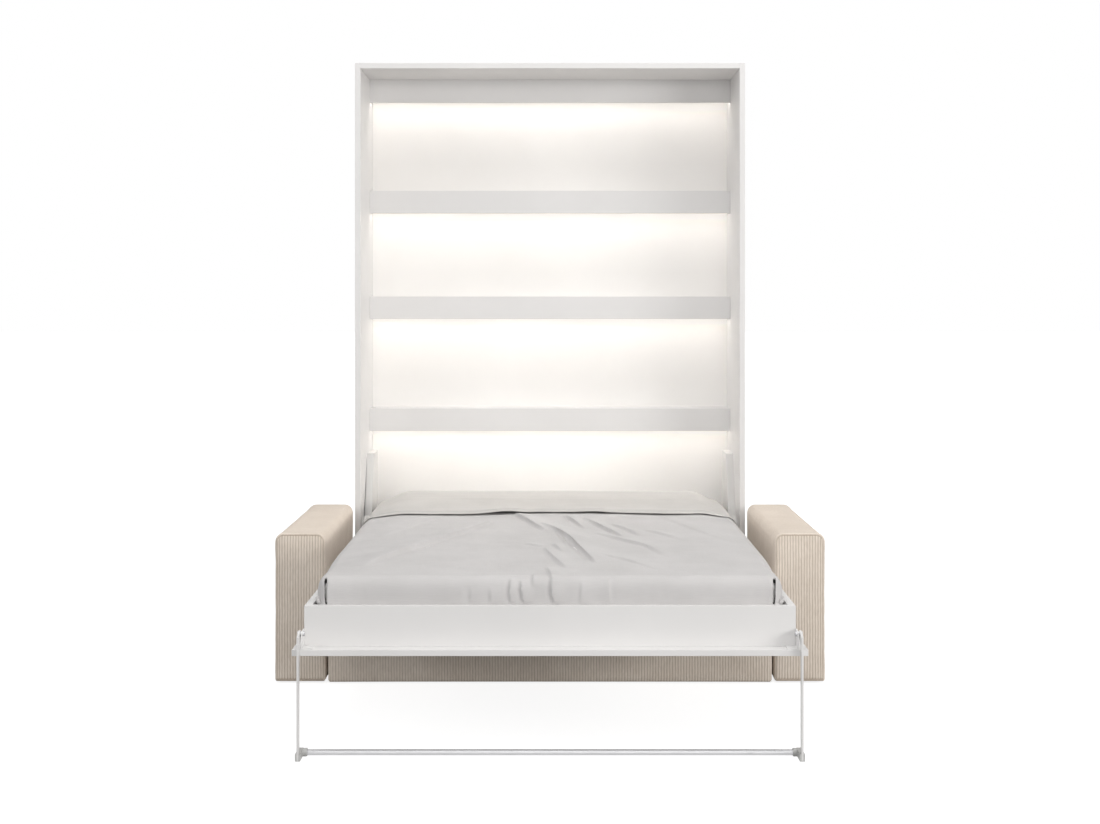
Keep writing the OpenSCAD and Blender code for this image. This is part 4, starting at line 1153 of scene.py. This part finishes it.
# %% Band
BAND_ROLL = [0, 0.003, 0.008, 0.016, 0.028, 0.045]
BAND_HEM = [0.984, 0.990, 0.995, 0.998, 1]
band_cols = across_fall < RIM_DROP - 2.5
bx, bfall = across[band_cols], shoulders(across, across_fall)[band_cols]
share = np.concatenate([BAND_ROLL, np.linspace(0.07, 0.95, 58), [0.965, 0.976], BAND_HEM])
full = np.interp(share, [*BAND_ROLL, 0.10, 0.20, 0.35, 0.50, 0.70, 0.88, 0.965, *BAND_HEM],
                 [3, 9, 15, 21, 26, 30, 35, 37, 33, 27, 20, 15, 13, 11.5, 10, 7.5, 5, 2.5])
BX, SHARE = np.meshgrid(bx, share)
BFALL, FULL = np.meshgrid(bfall, full)
wander = 4 * np.sin(np.radians(0.9 * BX + 40)) + 3 * noise_field(BX, BX * 0, 45, 50, 21.0)
BU = BAND_BACK - 4 + (band_edge(BX) - BAND_BACK + 4 + wander) * SHARE
soft_band = (2.0 * noise_field(BX, BU, 260, 90, 3.0) + 1.3 * noise_field(BX, BU, 120, 45, 7.0)
             + 2.2 * np.exp(-((BU - 15 - 12 * np.sin(BX / 190)) / 16) ** 2)
             + 2.0 * np.exp(-((BU + 120 + 14 * np.sin(BX / 230 + 1)) / 20) ** 2))
flat_share = np.clip(1 - BFALL / 40, 0, 1)
stand_off = (4.2 + 7.0 * np.exp(-((BX + 175) / 75) ** 2) + 3.0 * np.exp(-((BX - 170) / 60) ** 2)
             + 1.5 * noise_field(BX, BX * 0, 70, 50, 31.0))
free = ease((SHARE - 0.84) / 0.14)
thinner = 1 - 0.88 * ease((np.abs(BX) - 585) / 130)
lift = (0.6 + (FULL + soft_band * flat_share * np.minimum(1, FULL / 12)) * thinner
        + stand_off * free * flat_share)
sideways = 0.6 + 3.0 * np.clip(FULL / 12, 0, 1)
fade_down = 1 - BFALL / HEM_DROP
round_back = 18 * ease((0.10 - SHARE) / 0.10) * (1 - flat_share)
top = np.stack([BX * (DUVET_X + sideways) / DUVET_X, front_mm - BU - round_back,
                DUVET_TOP - BFALL + lift * fade_down], axis=2)
below = 0.6 + 1.9 * flat_share + stand_off * free * flat_share
under = np.stack([BX * (DUVET_X + 0.5 + 2.2 * free) / DUVET_X, front_mm - BU - round_back,
                  DUVET_TOP - BFALL + np.minimum(below, lift - 1.0) * fade_down], axis=2)
band = closed_cloth("turned_down_band", top, under)
give(band, lining_cotton, "bed", "duvet_lining", "duvet_fold")

# %% [markdown]
# ## Floor, backdrop and light
# The floor is plain and grey, and to the camera it also glows, so that it reads as white, as it
# does in a studio. The glow is a little weaker near the bed, where the bed's shadow has to show.

# %% Floor and backdrop
def for_rays(tree, *kinds):
    """1 for rays of these kinds and 0 for all others."""
    rays = add(tree, "ShaderNodeLightPath").outputs
    share = rays[kinds[0]]
    for kind in kinds[1:]:
        either = add(tree, "ShaderNodeMath", {0: share, 1: rays[kind]}, operation="MAXIMUM")
        share = either.outputs[0]
    return share


def pale_floor():
    material, tree, shader, place = new_finish(
        "pale_floor", 0.9, Base_Color=(0.38, 0.38, 0.38, 1), Emission_Color=(1, 1, 1, 1))
    away = add(tree, "ShaderNodeVectorMath", {0: place}, operation="LENGTH").outputs["Value"]
    level = add(tree, "ShaderNodeMapRange", {"Value": away, "From Min": 1.6, "From Max": 6.0,
                                             "To Min": FLOOR_GLOW}).outputs["Result"]
    seen = for_rays(tree, "Is Camera Ray", "Is Glossy Ray")
    glow = add(tree, "ShaderNodeMath", {0: seen, 1: level}, operation="MULTIPLY").outputs[0]
    tree.links.new(glow, shader.inputs["Emission Strength"])
    return material


FLOOR_GLOW = 0.84
FLOOR_REACH = 60
mesh = bpy.data.meshes.new("floor")
mesh.from_pydata([(FLOOR_REACH * x, FLOOR_REACH * y, 0)
                  for x, y in ((-1, -1), (1, -1), (1, 1), (-1, 1))], [], [(0, 1, 2, 3)])
mesh.materials.append(pale_floor())
floor = placed("floor", mesh)
floor.location.z = -0.5 * MM

# %% [markdown]
# The light is what a white studio gives. The world shows white to the camera and to glossy and
# clear surfaces, and lights the object with a plainer grey. The key stands to the right and rather
# low, so that it reaches under the foot of the bed. A weaker lamp to the left and one in front fill
# in, and one overhead lights the tops. All are large, which keeps their shadows soft.

# %% World and lamps
world = bpy.data.worlds.new("studio")
bpy.context.scene.world = world
world.use_nodes = True
tree = world.node_tree
background = tree.nodes["Background"]
SKY_LEVEL = 0.33
shown = for_rays(tree, "Is Camera Ray", "Is Glossy Ray", "Is Transmission Ray")
background.inputs["Color"].default_value = (1, 1, 1, 1)
tree.links.new(spread(tree, shown, SKY_LEVEL, 1.0), background.inputs["Strength"])


def lamp(name, place, target, size, watts, colour):
    data = bpy.data.lights.new(name, "AREA")
    data.shape, data.size, data.size_y = "RECTANGLE", *size
    data.energy, data.color = watts, colour
    made = placed(name, data)
    made.location = place
    made.rotation_euler = (Vector(target) - Vector(place)).to_track_quat("-Z", "Y").to_euler()


lamp("overhead", (0, -1.8, 5.2), (0, -0.4, 0.5), (5.0, 5.0), 130, (1.0, 0.99, 0.975))
lamp("key", (6.0, -5.0, 2.2), (0, 0, 0.7), (4.0, 2.4), 232, (1.0, 0.985, 0.965))
lamp("left", (-5.5, -3.6, 3.3), (0, 0, 1.2), (3.5, 2.0), 60, (0.985, 0.99, 1.0))
lamp("front", (0.3, -8.0, 2.5), (0, 0, 1.5), (4.0, 1.2), 76, (1.0, 0.995, 0.99))
print("sky level", SKY_LEVEL, "and", len(bpy.data.lights), "lamps")
